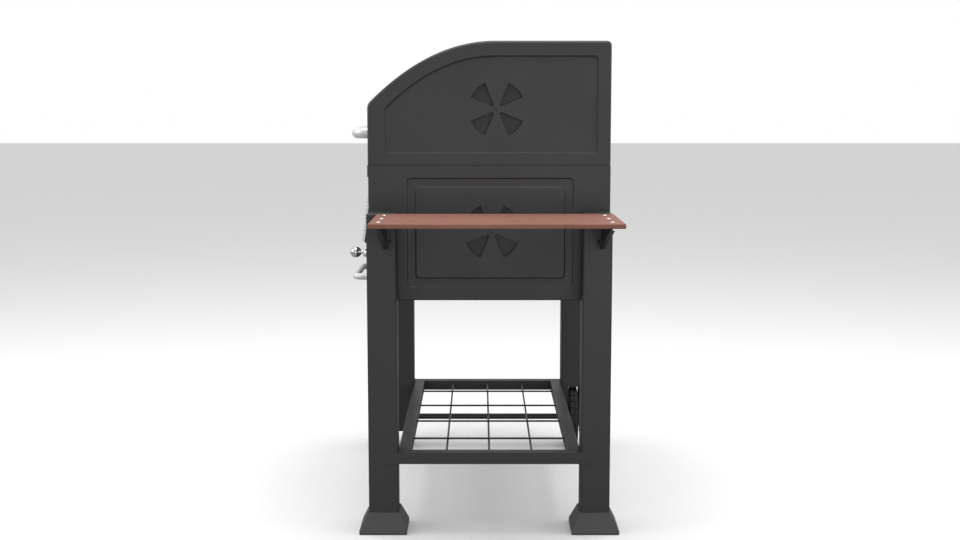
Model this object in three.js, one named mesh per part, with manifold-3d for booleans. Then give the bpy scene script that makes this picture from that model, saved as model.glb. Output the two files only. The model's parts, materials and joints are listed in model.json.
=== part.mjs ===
// Charcoal barbecue trolley: four legs, two of them on wheels, carry a firebox with a hinged lid,
// a stoking door, an ash drawer and a charcoal pan that a crank lifts by rack and pinion.
// Millimetres. +Z is up, -Y is the front with the door and drawer, +X is the side with the shelf.
// The origin is on the floor, under the middle of the whole trolley.
import * as THREE from 'three';
import { mergeVertices } from 'three/addons/utils/BufferGeometryUtils.js';
import Module from 'manifold-3d';

const wasm = await Module();
wasm.setup();

const degrees = THREE.MathUtils.degToRad;

// ---- Driving dimensions ----
const GAP = 0.3; // left between pieces that touch
const SHEET = 2; // thickness of the folded and pressed steel

const LEG = { x: 363.5, y: 233, sizeX: 65, sizeY: 64, top: 705 };
const LEG_INNER_Y = LEG.y - LEG.sizeY / 2;
const LEG_OUTER_X = LEG.x + LEG.sizeX / 2;
const WHEEL_LEG_BOTTOM = 48;
const FOOT = { base: 104, skirt: 9, height: 46, lip: 2, floor: 3 };

const WHEEL = { radius: 82.5, tread: 21, rim: 57, boss: 16, bossLength: 52, web: 7 };
const AXLE_RADIUS = 7.75;
const AXLE_ENDS = { front: -319, back: 266 };
const WHEEL_Y = { front: -291.5, back: 236 }; // outside its leg, and in its leg's slot
const WHEEL_SLOT = { width: 29, top: 172 };

const RACK = { top: 181, height: 26, railWidth: 27, barWidth: 25, lap: 230, wheelLap: 214, lapSheet: 1.5 };
const GRILLE = { wire: 2.25, long: [-95, 0, 94], crossPitch: 169, crossCount: 4, drop: 4.5 };

const BOX = { halfX: 330.7, halfY: 265, bottom: 508, top: 806 };
const BOX_RIM = { height: 26, depth: 2 };
const BOX_PRESS = { front: -180, back: 184, bottom: 539, top: 777, groove: 18.5, depth: 3, corner: 9 };
const BOX_VENT = { y: 6, z: 660, behind: 5.5 }; // the damper stands this far behind its panel

const LID = { front: -266, back: 265, bottom: 808.5, top: 1074.4, backCorner: 12 };
const LID_SLOPE = { y: -266, z: 938, angle: degrees(44.6), crownEnd: 12, corner: 9.5 };
const LID_RECESS = { front: 40, slope: 34.5, top: 33.2, back: 30, bottom: 24.5, depth: 4, corner: 4 };
const LID_VENT = { y: 16, z: 927, behind: 9 };

const PETAL = { count: 4, apex: 10, radius: 62, half: degrees(20.5) };
const DAMPER = { radius: 67, sheet: 1.5, offset: degrees(43), pivot: 4, pivotEnd: 1 };
const DAMPER_TAB = { radius: 46, thick: 3, width: 12, belowFace: 1, angle: degrees(16) };

const LID_HANDLE = { length: 460, nose: -312, z: 874, radius: 12.5, bend: 30 };
const DRAWER_HANDLE = { length: 222, nose: -324, z: 532, radius: 7.75, bend: 20 };
const THERMOMETER = { radius: 30, proud: 10, bevel: 3, seat: 1.5, stem: 4, along: 64, reach: 40, lean: 0.8 };
const HINGE = { x: 180, width: 50, y: 270.6, z: 807.5, barrel: 5, pin: 2.5, leaf: 33, sheet: 2 };

const SHELF = { start: 396.3, end: 647, front: -241, back: 266, top: 705, thick: 9.5 };
const BRACKET = { y: [-222, 242], length: 217, height: 67, flange: 24, lip: 10, tip: 8 };

const DOOR = { halfX: 178, bottom: 620, top: 779, proud: 22, topProud: 3 };
const DOOR_WAY = { halfX: 160, bottom: 640, top: 765 };
const DOOR_ROD = { y: -270, z: 614, radius: 2.5, halfLength: 170 };
const DOOR_KNUCKLE = { radius: 4.2, x: 140, length: 30 };
const RIB_PLATE = { halfX: 174, height: 132, foot: 3, base: 4, rib: 4, pitch: 7.3 };

const DRAWER = { halfX: 237.5, front: -262, back: 200, bottom: 512.6, top: 553 };
const DRAWER_FACE = { halfX: 246, bottom: 511, top: 563, sheet: 3 };
const RUNNER = { foot: 15, height: 20, front: -258, back: 214 };

const PAN = { halfX: 308, halfY: 248, bottom: 640, height: 38, flangeX: 321, flangeY: 256 };
const PAN_SLOT = { count: 9, pitch: 60, width: 9, halfLength: 190 };
const GEAR = { teeth: 18, module: 1.6, pressure: degrees(20), backlash: 0.3, width: 8 };
const PITCH_RADIUS = GEAR.teeth * GEAR.module / 2;
const ADDENDUM = 0.9 * GEAR.module;
const DEDENDUM = 1.25 * GEAR.module;
const LIFT = { rackX: 312, rackBack: 320, y: -120, width: 10, bottom: 530 };
const SHAFT = { x: LIFT.rackX - PITCH_RADIUS, z: 608, radius: 6, front: -271.7, back: -104 };
const CRANK = { arm: 35, armWidth: 14, armThick: 6, ball: 12.4, tip: -312, stem: 5, neck: 6 };
const BUSH = { outer: 9, flange: 13, flangeThick: 2.5, back: -258 };
const GUIDE = { back: 320.5, depth: 6.5, slack: 0.6, bottom: 510.3, top: 650 };
const SHAFT_BRACKET = { front: -111.7, thick: 3.5, left: 284, bottom: 590, top: 626 };

const GRATE = { halfY: 250, inner: 3, outer: 318, bottom: 783.8, height: 6, frame: 6, bar: 4, bars: 13 };
const LEDGE = { halfX: 319, width: 20, drop: 16 };

const MIDDLE_X = (SHELF.end - (LEG.x + WHEEL.radius)) / 2;
const MIDDLE_Y = (LEG.y + FOOT.base / 2 + DRAWER_HANDLE.nose) / 2;

// ---- Finishes ----
const finish = (color, roughness, metalness) => new THREE.MeshStandardMaterial({ color, roughness, metalness });
const CHARCOAL = finish(0x3f4242, 0.55, 0.3);
const SILVER = finish(0xc4c4c4, 0.4, 0.6);
const STAINLESS = finish(0xc9c9c9, 0.3, 0.9);
const CHROME = finish(0xd8d8d8, 0.1, 1);
const ZINC = finish(0x9fa2a4, 0.45, 0.9);
const ENAMEL = finish(0x202122, 0.35, 0.2);
const WOOD = finish(0xa57668, 0.6, 0);
const RUBBER = finish(0x1b1b1b, 0.85, 0);
const NYLON = finish(0x2b2c2d, 0.6, 0);

// ---- Shape helpers ----
const X_AXIS = new THREE.Vector3(1, 0, 0);
const Y_AXIS = new THREE.Vector3(0, 1, 0);
const Z_AXIS = new THREE.Vector3(0, 0, 1);
const ROD_SIDES = 16;
const ARC_STEPS = 4;
const WHEEL_STEPS = 28;
const DISC_STEPS = 24;
const LID_CURVE_STEPS = 8;
const MERGE_DISTANCE = 1e-4;
const THROUGH = 5; // how far a cutting shape runs past the face it cuts
const WELD = 0.2; // how deep two joined plates sink into each other

function block(x0, x1, y0, y1, z0, z1) {
  const geometry = new THREE.BoxGeometry(Math.abs(x1 - x0), Math.abs(y1 - y0), Math.abs(z1 - z0));
  return geometry.translate((x0 + x1) / 2, (y0 + y1) / 2, (z0 + z1) / 2);
}

function swept(shape, start, end) {
  const depth = Math.abs(end - start);
  return new THREE.ExtrudeGeometry(shape, { depth, bevelEnabled: false, curveSegments: ARC_STEPS });
}

// An outline in (Y, Z) swept along X.
function prismX(shape, xa, xb) {
  const geometry = swept(shape, xa, xb);
  geometry.applyMatrix4(new THREE.Matrix4().makeBasis(Y_AXIS, Z_AXIS, X_AXIS));
  return geometry.translate(Math.min(xa, xb), 0, 0);
}

// An outline in (X, Z) swept along Y.
function prismY(shape, ya, yb) {
  const geometry = swept(shape, ya, yb);
  geometry.applyMatrix4(new THREE.Matrix4().makeBasis(X_AXIS, Z_AXIS, Y_AXIS.clone().negate()));
  return geometry.translate(0, Math.max(ya, yb), 0);
}

// An outline in (X, Y) swept along Z.
function prismZ(shape, za, zb) {
  return swept(shape, za, zb).translate(0, 0, Math.min(za, zb));
}

function rodX(radius, xa, xb, y, z, sides = ROD_SIDES) {
  const geometry = new THREE.CylinderGeometry(radius, radius, Math.abs(xb - xa), sides);
  return geometry.rotateZ(Math.PI / 2).translate((xa + xb) / 2, y, z);
}

function rodY(radius, ya, yb, x, z, sides = ROD_SIDES) {
  const geometry = new THREE.CylinderGeometry(radius, radius, Math.abs(yb - ya), sides);
  return geometry.translate(x, (ya + yb) / 2, z);
}

function polygon(points) {
  return new THREE.Shape(points.map(([a, b]) => new THREE.Vector2(a, b)));
}

// Always anticlockwise, whichever order its two ends are given in.
function rectangle(aa, ab, b0, b1) {
  const [a0, a1] = [Math.min(aa, ab), Math.max(aa, ab)];
  return polygon([[a0, b0], [a1, b0], [a1, b1], [a0, b1]]);
}

function roundedRectangle(a0, a1, b0, b1, corner) {
  const shape = new THREE.Shape();
  shape.moveTo(a0 + corner, b0);
  shape.lineTo(a1 - corner, b0);
  shape.quadraticCurveTo(a1, b0, a1, b0 + corner);
  shape.lineTo(a1, b1 - corner);
  shape.quadraticCurveTo(a1, b1, a1 - corner, b1);
  shape.lineTo(a0 + corner, b1);
  shape.quadraticCurveTo(a0, b1, a0, b1 - corner);
  shape.lineTo(a0, b0 + corner);
  shape.quadraticCurveTo(a0, b0, a0 + corner, b0);
  return shape;
}

// A closed profile of [radius, height] corners turned about the Y axis.
function turned(corners, segments) {
  return new THREE.LatheGeometry(corners.map(([r, y]) => new THREE.Vector2(r, y)), segments);
}

// ---- Joining and cutting ----
function toSolid(geometry) {
  const bare = geometry.clone();
  bare.deleteAttribute('normal');
  bare.deleteAttribute('uv');
  const merged = mergeVertices(bare, MERGE_DISTANCE);
  const triangles = [];
  for (let i = 0; i < merged.index.count; i += 3) {
    const corners = [0, 1, 2].map((k) => merged.index.getX(i + k));
    if (new Set(corners).size === 3) triangles.push(...corners);
  }
  const mesh = new wasm.Mesh({
    numProp: 3,
    vertProperties: new Float32Array(merged.attributes.position.array),
    triVerts: new Uint32Array(triangles),
  });
  return new wasm.Manifold(mesh);
}

function toGeometry(solid) {
  const mesh = solid.getMesh();
  const geometry = new THREE.BufferGeometry();
  geometry.setAttribute('position', new THREE.BufferAttribute(mesh.vertProperties, 3));
  geometry.setIndex(new THREE.BufferAttribute(mesh.triVerts, 1));
  geometry.computeVertexNormals();
  return geometry;
}

function join(...geometries) {
  return toGeometry(geometries.map(toSolid).reduce((whole, piece) => whole.add(piece)));
}

function cut(base, ...tools) {
  return toGeometry([base, ...tools].map(toSolid).reduce((whole, tool) => whole.subtract(tool)));
}

function add(group, name, geometry, material) {
  const mesh = new THREE.Mesh(geometry, material);
  mesh.name = name;
  group.add(mesh);
  return mesh;
}

// ---- Legs, feet and wheels ----
function legTube(bottom) {
  const halfX = LEG.sizeX / 2;
  const halfY = LEG.sizeY / 2;
  const inX = halfX - SHEET;
  const inY = halfY - SHEET;
  return cut(
    block(-halfX, halfX, -halfY, halfY, bottom, LEG.top),
    block(-inX, inX, -inY, inY, bottom - THROUGH, LEG.top - SHEET),
  );
}

// The axle runs in holes through the Y faces. The back wheel runs in a slot through the X faces of its leg.
function wheelLegTube(slotted) {
  const slotY = WHEEL_Y.back - LEG.y;
  const slot = WHEEL_SLOT.width / 2;
  const pastX = LEG.sizeX / 2 + THROUGH;
  const pastY = LEG.sizeY / 2 + THROUGH;
  const cutters = [rodY(AXLE_RADIUS + GAP, -pastY, pastY, 0, WHEEL.radius)];
  if (slotted) {
    cutters.push(block(-pastX, pastX, slotY - slot, slotY + slot, WHEEL_LEG_BOTTOM - THROUGH, WHEEL_SLOT.top));
  }
  return cut(legTube(WHEEL_LEG_BOTTOM), ...cutters);
}

function foot() {
  const cornerRadius = (side) => side / Math.SQRT2;
  const topSide = LEG.sizeX + 2 * FOOT.lip;
  const slopeHeight = FOOT.height - FOOT.skirt;
  const slope = new THREE.CylinderGeometry(cornerRadius(topSide), cornerRadius(FOOT.base), slopeHeight, 4);
  slope.rotateY(Math.PI / 4).rotateX(Math.PI / 2).translate(0, 0, FOOT.skirt + slopeHeight / 2);
  const half = FOOT.base / 2;
  const socketX = LEG.sizeX / 2 + GAP;
  const socketY = LEG.sizeY / 2 + GAP;
  const socket = block(-socketX, socketX, -socketY, socketY, FOOT.floor, FOOT.height + THROUGH);
  return cut(join(block(-half, half, -half, half, 0, FOOT.skirt), slope), socket);
}

function addLegs(cart) {
  for (const [end, sideY] of [['front', -1], ['back', 1]]) {
    const shelfLeg = add(cart, `leg_shelf_side_${end}`, legTube(FOOT.floor + GAP), CHARCOAL);
    shelfLeg.position.set(LEG.x, sideY * LEG.y, 0);
    const shelfFoot = add(cart, `foot_${end}`, foot(), CHARCOAL);
    shelfFoot.position.copy(shelfLeg.position);
    const wheelLeg = add(cart, `leg_wheel_side_${end}`, wheelLegTube(end === 'back'), CHARCOAL);
    wheelLeg.position.set(-LEG.x, sideY * LEG.y, 0);
  }
}

function tyre() {
  const half = WHEEL.tread / 2;
  const shoulder = 4;
  return turned([
    [WHEEL.rim, -half + shoulder],
    [WHEEL.rim + shoulder, -half],
    [WHEEL.radius - shoulder, -half],
    [WHEEL.radius, -half + shoulder],
    [WHEEL.radius, half - shoulder],
    [WHEEL.radius - shoulder, half],
    [WHEEL.rim + shoulder, half],
    [WHEEL.rim, half - shoulder],
    [WHEEL.rim, -half + shoulder],
  ], WHEEL_STEPS);
}

function hub() {
  const rim = WHEEL.rim - 2 * GAP;
  const rimInside = rim - 8;
  const halfRim = WHEEL.tread / 2 - 3;
  const halfBoss = WHEEL.bossLength / 2;
  const halfWeb = WHEEL.web / 2;
  const bore = AXLE_RADIUS + 2 * GAP;
  return turned([
    [bore, -halfBoss],
    [WHEEL.boss, -halfBoss],
    [WHEEL.boss, -halfWeb],
    [rimInside, -halfWeb],
    [rimInside, -halfRim],
    [rim, -halfRim],
    [rim, halfRim],
    [rimInside, halfRim],
    [rimInside, halfWeb],
    [WHEEL.boss, halfWeb],
    [WHEEL.boss, halfBoss],
    [bore, halfBoss],
    [bore, -halfBoss],
  ], WHEEL_STEPS);
}

function addWheels(cart) {
  add(cart, 'axle', rodY(AXLE_RADIUS, AXLE_ENDS.front, AXLE_ENDS.back, -LEG.x, WHEEL.radius), CHARCOAL);
  for (const end of ['front', 'back']) {
    const wheel = new THREE.Group();
    wheel.position.set(-LEG.x, WHEEL_Y[end], WHEEL.radius);
    cart.add(wheel);
    add(wheel, `tyre_${end}`, tyre(), RUBBER);
    add(wheel, `hub_${end}`, hub(), NYLON);
  }
}

// ---- Storage rack ----
function rackEndBar(sideX, lap) {
  const outer = sideX * (LEG_OUTER_X + GAP);
  const inner = outer - sideX * RACK.barWidth;
  const between = LEG_INNER_Y - GAP;
  const past = between + THROUGH;
  const bottom = RACK.top - RACK.height;
  const tube = block(inner, outer, -between, between, bottom, RACK.top);
  const lapPlate = block(outer - sideX * WELD, outer + sideX * RACK.lapSheet, -lap, lap, bottom, RACK.top);
  const [hollowInner, hollowOuter] = [inner + sideX * SHEET, outer - sideX * SHEET];
  const hollow = block(hollowInner, hollowOuter, -past, past, bottom + SHEET, RACK.top - SHEET);
  return cut(join(tube, lapPlate), hollow);
}

function rackRail(sideY) {
  const halfLength = LEG_OUTER_X - RACK.barWidth;
  const past = halfLength + THROUGH;
  const outer = sideY * (LEG_INNER_Y - GAP);
  const inner = outer - sideY * RACK.railWidth;
  const bottom = RACK.top - RACK.height;
  const rail = block(-halfLength, halfLength, inner, outer, bottom, RACK.top);
  const [hollowInner, hollowOuter] = [inner + sideY * SHEET, outer - sideY * SHEET];
  return cut(rail, block(-past, past, hollowInner, hollowOuter, bottom + SHEET, RACK.top - SHEET));
}

function rackGrille() {
  const wireSides = 8;
  const crossZ = RACK.top - GRILLE.drop;
  const longZ = crossZ - 2 * GRILLE.wire + WELD;
  const halfX = LEG_OUTER_X - RACK.barWidth - GAP;
  const halfY = LEG_INNER_Y - RACK.railWidth - 2 * GAP;
  const longWires = GRILLE.long.map((y) => rodX(GRILLE.wire, -halfX, halfX, y, longZ, wireSides));
  const crossWires = Array.from({ length: GRILLE.crossCount }, (unused, i) => {
    const x = (i - (GRILLE.crossCount - 1) / 2) * GRILLE.crossPitch;
    return rodY(GRILLE.wire, -halfY, halfY, x, crossZ, wireSides);
  });
  return join(...longWires, ...crossWires);
}

function addRack(cart) {
  add(cart, 'rack_bar_shelf_side', rackEndBar(1, RACK.lap), CHARCOAL);
  add(cart, 'rack_bar_wheel_side', rackEndBar(-1, RACK.wheelLap), CHARCOAL);
  add(cart, 'rack_rail_front', rackRail(-1), CHARCOAL);
  add(cart, 'rack_rail_back', rackRail(1), CHARCOAL);
  add(cart, 'rack_grille', rackGrille(), CHARCOAL);
}

// ---- Petal vents ----
function petalShape(centre, angle) {
  const start = angle - PETAL.half;
  const shape = new THREE.Shape();
  shape.moveTo(centre.y + PETAL.apex * Math.cos(angle), centre.z + PETAL.apex * Math.sin(angle));
  shape.lineTo(centre.y + PETAL.radius * Math.cos(start), centre.z + PETAL.radius * Math.sin(start));
  shape.absarc(centre.y, centre.z, PETAL.radius, start, angle + PETAL.half, false);
  return shape;
}

function petalAngle(index) {
  return (index + 0.5) * 2 * Math.PI / PETAL.count;
}

function petalCutters(centre, turn, xa, xb) {
  return Array.from({ length: PETAL.count }, (unused, i) => (
    prismX(petalShape(centre, petalAngle(i) + turn), xa, xb)
  ));
}

// A disc that turns behind the petals; its tab stands in the front upper petal, just below the face.
function damper(centre, sideX, panelBack) {
  const face = panelBack - sideX * centre.behind;
  const back = face - sideX * DAMPER.sheet;
  const [before, behind] = [face + sideX, back - sideX];
  const disc = rodX(DAMPER.radius, back, face, centre.y, centre.z, DISC_STEPS);
  const bore = rodX(DAMPER.pivot + 2 * GAP, behind, before, centre.y, centre.z);
  const slots = petalCutters(centre, DAMPER.offset, behind, before);
  const { radius, width, thick, belowFace } = DAMPER_TAB;
  const tabEnd = panelBack + sideX * (SHEET - belowFace);
  const tab = block(back, tabEnd, radius, radius + width, -thick / 2, thick / 2);
  tab.rotateX(petalAngle(1) - DAMPER_TAB.angle).translate(0, centre.y, centre.z);
  return join(cut(disc, bore, ...slots), tab);
}

function ventPivot(centre, sideX, panelFace, panelBack) {
  const reach = centre.behind + DAMPER.sheet + DAMPER.pivotEnd;
  return rodX(DAMPER.pivot, panelBack - sideX * reach, panelFace + sideX, centre.y, centre.z);
}

// ---- Firebox ----
// A pressed panel: a groove runs round a raised field, which holds the petal vent.
function fireboxSide(sideX) {
  const face = sideX * BOX.halfX;
  const inner = face - sideX * SHEET;
  const grooveFace = face - sideX * BOX_PRESS.depth;
  const grooveBack = grooveFace - sideX * SHEET;
  const past = sideX * THROUGH;
  const press = (grow) => roundedRectangle(
    BOX_PRESS.front - grow,
    BOX_PRESS.back + grow,
    BOX_PRESS.bottom - grow,
    BOX_PRESS.top + grow,
    BOX_PRESS.corner,
  );
  const island = (shrink) => press(-BOX_PRESS.groove - shrink);
  const outline = rectangle(-BOX.halfY, BOX.halfY, BOX.bottom, BOX.top);
  const plate = cut(prismX(outline, inner, face), prismX(press(0), inner - past, face + past));
  const tray = cut(
    prismX(press(SHEET), grooveBack, inner + sideX * WELD),
    prismX(press(0), grooveFace, face + past),
  );
  const whole = join(plate, tray, prismX(island(0), grooveBack, face));
  const hollowed = cut(whole, prismX(island(SHEET), grooveBack - past, inner));
  const pivoted = join(hollowed, ventPivot(BOX_VENT, sideX, face, inner));
  return cut(pivoted, ...petalCutters(BOX_VENT, 0, inner - past, face + past));
}

function fireboxFront() {
  const halfX = BOX.halfX - SHEET - GAP;
  const drawerHalf = DRAWER.halfX + 2;
  const outer = -BOX.halfY;
  const inner = outer + SHEET;
  const before = outer - THROUGH;
  const behind = inner + THROUGH;
  const plate = block(-halfX, halfX, outer, inner, BOX.bottom, BOX.top);
  const rim = block(-halfX, halfX, outer - BOX_RIM.depth, outer + WELD, BOX.top - BOX_RIM.height, BOX.top);
  return cut(
    join(plate, rim),
    block(-DOOR_WAY.halfX, DOOR_WAY.halfX, before, behind, DOOR_WAY.bottom, DOOR_WAY.top),
    block(-drawerHalf, drawerHalf, before, behind, DRAWER.bottom - 1, DRAWER.top + 3),
    rodY(BUSH.outer + GAP, before, behind, SHAFT.x, SHAFT.z),
  );
}

function addFirebox(cart) {
  const halfX = BOX.halfX - SHEET - GAP;
  const halfY = BOX.halfY - SHEET - GAP;
  add(cart, 'firebox_side_right', fireboxSide(1), CHARCOAL);
  add(cart, 'firebox_side_left', fireboxSide(-1), CHARCOAL);
  add(cart, 'firebox_front', fireboxFront(), CHARCOAL);
  const back = block(-halfX, halfX, BOX.halfY - SHEET, BOX.halfY, BOX.bottom, BOX.top);
  add(cart, 'firebox_back', back, CHARCOAL);
  const floor = block(-halfX, halfX, -halfY, halfY, BOX.bottom, BOX.bottom + SHEET);
  add(cart, 'firebox_floor', floor, CHARCOAL);
}

// ---- Lid ----
// The lid's side outline as points in (Y, Z), moved in from the outer skin by the insets given.
function lidPoints({ front, slope, top, back, bottom, corner }) {
  const { angle } = LID_SLOPE;
  const frontY = LID.front + front;
  const topZ = LID.top - top;
  const backY = LID.back - back;
  const slopeY = LID_SLOPE.y + slope * Math.sin(angle);
  const slopeZ = LID_SLOPE.z - slope * Math.cos(angle);
  const kneeZ = slopeZ + (frontY - slopeY) * Math.tan(angle);
  const crownY = slopeY + (topZ - slopeZ) / Math.tan(angle);
  const [kneeEndY, kneeEndZ] = [frontY + corner * Math.cos(angle), kneeZ + corner * Math.sin(angle)];
  const path = new THREE.Path();
  path.moveTo(frontY, LID.bottom + bottom);
  path.lineTo(frontY, kneeZ - corner);
  path.quadraticCurveTo(frontY, kneeZ, kneeEndY, kneeEndZ);
  path.quadraticCurveTo(crownY, topZ, LID_SLOPE.crownEnd, topZ);
  path.lineTo(backY - LID.backCorner, topZ);
  path.quadraticCurveTo(backY, topZ, backY, topZ - LID.backCorner);
  path.lineTo(backY, LID.bottom + bottom);
  return path.getPoints(LID_CURVE_STEPS);
}

function lidSkin(inset) {
  return lidPoints({ front: inset, slope: inset, top: inset, back: inset, bottom: 0, corner: LID_SLOPE.corner });
}

function lidSide(sideX) {
  const face = sideX * BOX.halfX;
  const inner = face - sideX * SHEET;
  const recessFace = face - sideX * LID_RECESS.depth;
  const recessBack = recessFace - sideX * SHEET;
  const past = sideX * THROUGH;
  const recess = (grow) => new THREE.Shape(lidPoints({
    front: LID_RECESS.front - grow,
    slope: LID_RECESS.slope - grow,
    top: LID_RECESS.top - grow,
    back: LID_RECESS.back - grow,
    bottom: LID_RECESS.bottom - grow,
    corner: LID_RECESS.corner,
  }));
  const outline = new THREE.Shape(lidSkin(0));
  const plate = cut(prismX(outline, inner, face), prismX(recess(0), inner - past, face + past));
  const tray = cut(
    prismX(recess(SHEET), recessBack, inner + sideX * WELD),
    prismX(recess(0), recessFace, face + past),
  );
  const pivoted = join(plate, tray, ventPivot(LID_VENT, sideX, recessFace, recessBack));
  return cut(pivoted, ...petalCutters(LID_VENT, 0, recessBack - past, face + past));
}

// Turns a shape that stands along +Y to stand on the lid's sloping front, and moves it there.
function onSlope(geometry) {
  const { angle } = LID_SLOPE;
  const y = LID_SLOPE.y + THERMOMETER.along * Math.cos(angle);
  const z = LID_SLOPE.z + THERMOMETER.along * Math.sin(angle);
  const lean = THERMOMETER.lean * angle;
  return geometry.rotateX(Math.PI / 2 + lean).translate(0, y, z);
}

function lidShell() {
  const halfX = BOX.halfX - SHEET - GAP;
  const skin = new THREE.Shape([...lidSkin(0), ...lidSkin(SHEET).reverse()]);
  const radius = THERMOMETER.stem + 2 * GAP;
  const stemHole = onSlope(new THREE.CylinderGeometry(radius, radius, 2 * THERMOMETER.reach, ROD_SIDES));
  return cut(prismX(skin, -halfX, halfX), stemHole);
}

function thermometer() {
  const { radius, proud, bevel, seat, stem, reach } = THERMOMETER;
  return onSlope(turned([
    [0, -reach],
    [stem, -reach],
    [stem, seat],
    [radius, seat],
    [radius, proud - bevel],
    [radius - bevel, proud],
    [0, proud],
  ], DISC_STEPS));
}

// A bow handle: a round bar that leaves the wall, runs along X and returns.
function bowHandle({ length, nose, z, radius, bend }, wallY, steps) {
  const barY = nose + radius;
  const end = length / 2 - radius;
  const footAt = (sideX) => new THREE.Vector3(sideX * end, wallY, z);
  const bendStart = (sideX) => new THREE.Vector3(sideX * end, barY + bend, z);
  const corner = (sideX) => new THREE.Vector3(sideX * end, barY, z);
  const bendEnd = (sideX) => new THREE.Vector3(sideX * (end - bend), barY, z);
  const path = new THREE.CurvePath();
  path.add(new THREE.LineCurve3(footAt(-1), bendStart(-1)));
  path.add(new THREE.QuadraticBezierCurve3(bendStart(-1), corner(-1), bendEnd(-1)));
  path.add(new THREE.LineCurve3(bendEnd(-1), bendEnd(1)));
  path.add(new THREE.QuadraticBezierCurve3(bendEnd(1), corner(1), bendStart(1)));
  path.add(new THREE.LineCurve3(bendStart(1), footAt(1)));
  const section = new THREE.Shape();
  section.absarc(0, 0, radius, 0, 2 * Math.PI);
  const options = { steps, extrudePath: path, curveSegments: ARC_STEPS, bevelEnabled: false };
  return new THREE.ExtrudeGeometry(section, options);
}

// One hinge leaf: a plate on the wall and half of the barrel. The fixed leaf also carries the pin.
function hingeLeaf(x, onLid) {
  const half = HINGE.width / 2;
  const wall = BOX.halfY + GAP;
  const up = onLid ? 1 : -1;
  const near = HINGE.z + up * (HINGE.barrel + GAP);
  const [barrelStart, barrelEnd] = onLid ? [x + GAP, x + half] : [x - half, x - GAP];
  const plate = block(x - half, x + half, wall, wall + HINGE.sheet, near, HINGE.z + up * HINGE.leaf);
  const tongue = block(barrelStart, barrelEnd, wall, wall + HINGE.sheet, HINGE.z, near + up * HINGE.sheet);
  const leaf = join(plate, tongue, rodX(HINGE.barrel, barrelStart, barrelEnd, HINGE.y, HINGE.z));
  if (onLid) return cut(leaf, rodX(HINGE.pin + GAP, x - half, x + half + THROUGH, HINGE.y, HINGE.z));
  return join(leaf, rodX(HINGE.pin, x - half / 2, x + half, HINGE.y, HINGE.z));
}

function addLid(cart) {
  const lid = new THREE.Group();
  cart.add(lid);
  add(lid, 'lid_shell', lidShell(), CHARCOAL);
  add(lid, 'lid_side_right', lidSide(1), CHARCOAL);
  add(lid, 'lid_side_left', lidSide(-1), CHARCOAL);
  add(lid, 'lid_handle', bowHandle(LID_HANDLE, LID.front - GAP, 30), SILVER);
  add(lid, 'thermometer', thermometer(), STAINLESS);
  for (const [hand, sideX] of [['right', 1], ['left', -1]]) {
    const lidPanelBack = sideX * (BOX.halfX - LID_RECESS.depth - SHEET);
    const boxPanelBack = sideX * (BOX.halfX - SHEET);
    add(lid, `lid_damper_${hand}`, damper(LID_VENT, sideX, lidPanelBack), ENAMEL);
    add(cart, `firebox_damper_${hand}`, damper(BOX_VENT, sideX, boxPanelBack), ENAMEL);
    add(lid, `lid_hinge_leaf_${hand}`, hingeLeaf(sideX * HINGE.x, true), ZINC);
    add(cart, `firebox_hinge_leaf_${hand}`, hingeLeaf(sideX * HINGE.x, false), ZINC);
  }
}

// ---- Side shelf ----
function shelfBracket(y) {
  const start = SHELF.start;
  const end = start + BRACKET.length;
  const top = SHELF.top - SHELF.thick - GAP;
  const bottom = top - BRACKET.height;
  const tip = top - BRACKET.tip;
  const halfFlange = BRACKET.flange / 2;
  const triangle = polygon([[start, bottom], [end, tip], [end, top], [start, top]]);
  const lip = polygon([[start, bottom], [end, tip], [end, tip + SHEET], [start, bottom + SHEET]]);
  return join(
    prismY(triangle, y - SHEET / 2, y + SHEET / 2),
    prismY(lip, y - BRACKET.lip / 2, y + BRACKET.lip / 2),
    block(start, end, y - halfFlange, y + halfFlange, top - SHEET, top),
    block(start, start + SHEET, y - halfFlange, y + halfFlange, bottom, top),
  );
}

function addShelf(cart) {
  const names = ['inner', 'middle', 'outer'];
  const pitch = (SHELF.end - SHELF.start + GAP) / names.length;
  names.forEach((name, i) => {
    const start = SHELF.start + i * pitch;
    const end = start + pitch - GAP;
    const plank = block(start, end, SHELF.front, SHELF.back, SHELF.top - SHELF.thick, SHELF.top);
    add(cart, `shelf_plank_${name}`, plank, WOOD);
  });
  add(cart, 'shelf_bracket_front', shelfBracket(BRACKET.y[0]), CHARCOAL);
  add(cart, 'shelf_bracket_back', shelfBracket(BRACKET.y[1]), CHARCOAL);
}

// ---- Stoking door ----
function doorPanel() {
  const wall = -BOX.halfY - GAP;
  const { halfX, bottom, top, proud, topProud } = DOOR;
  const outside = polygon([[wall, bottom], [wall, top], [wall - topProud, top], [wall - proud, bottom]]);
  const inside = polygon([
    [wall + THROUGH, bottom + SHEET],
    [wall + THROUGH, top - SHEET],
    [wall - topProud + SHEET, top - SHEET],
    [wall - proud + SHEET, bottom + SHEET],
  ]);
  const pan = cut(prismX(outside, -halfX, halfX), prismX(inside, -halfX + SHEET, halfX - SHEET));
  const knuckles = [-1, 1].flatMap((sideX) => {
    const start = sideX * DOOR_KNUCKLE.x - DOOR_KNUCKLE.length / 2;
    const end = start + DOOR_KNUCKLE.length;
    return [
      rodX(DOOR_KNUCKLE.radius, start, end, DOOR_ROD.y, DOOR_ROD.z),
      block(start, end, DOOR_ROD.y - 1, DOOR_ROD.y + 1, DOOR_ROD.z, bottom + 1),
    ];
  });
  const bore = rodX(DOOR_ROD.radius + GAP, -halfX, halfX, DOOR_ROD.y, DOOR_ROD.z);
  return cut(join(pan, ...knuckles), bore);
}

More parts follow.
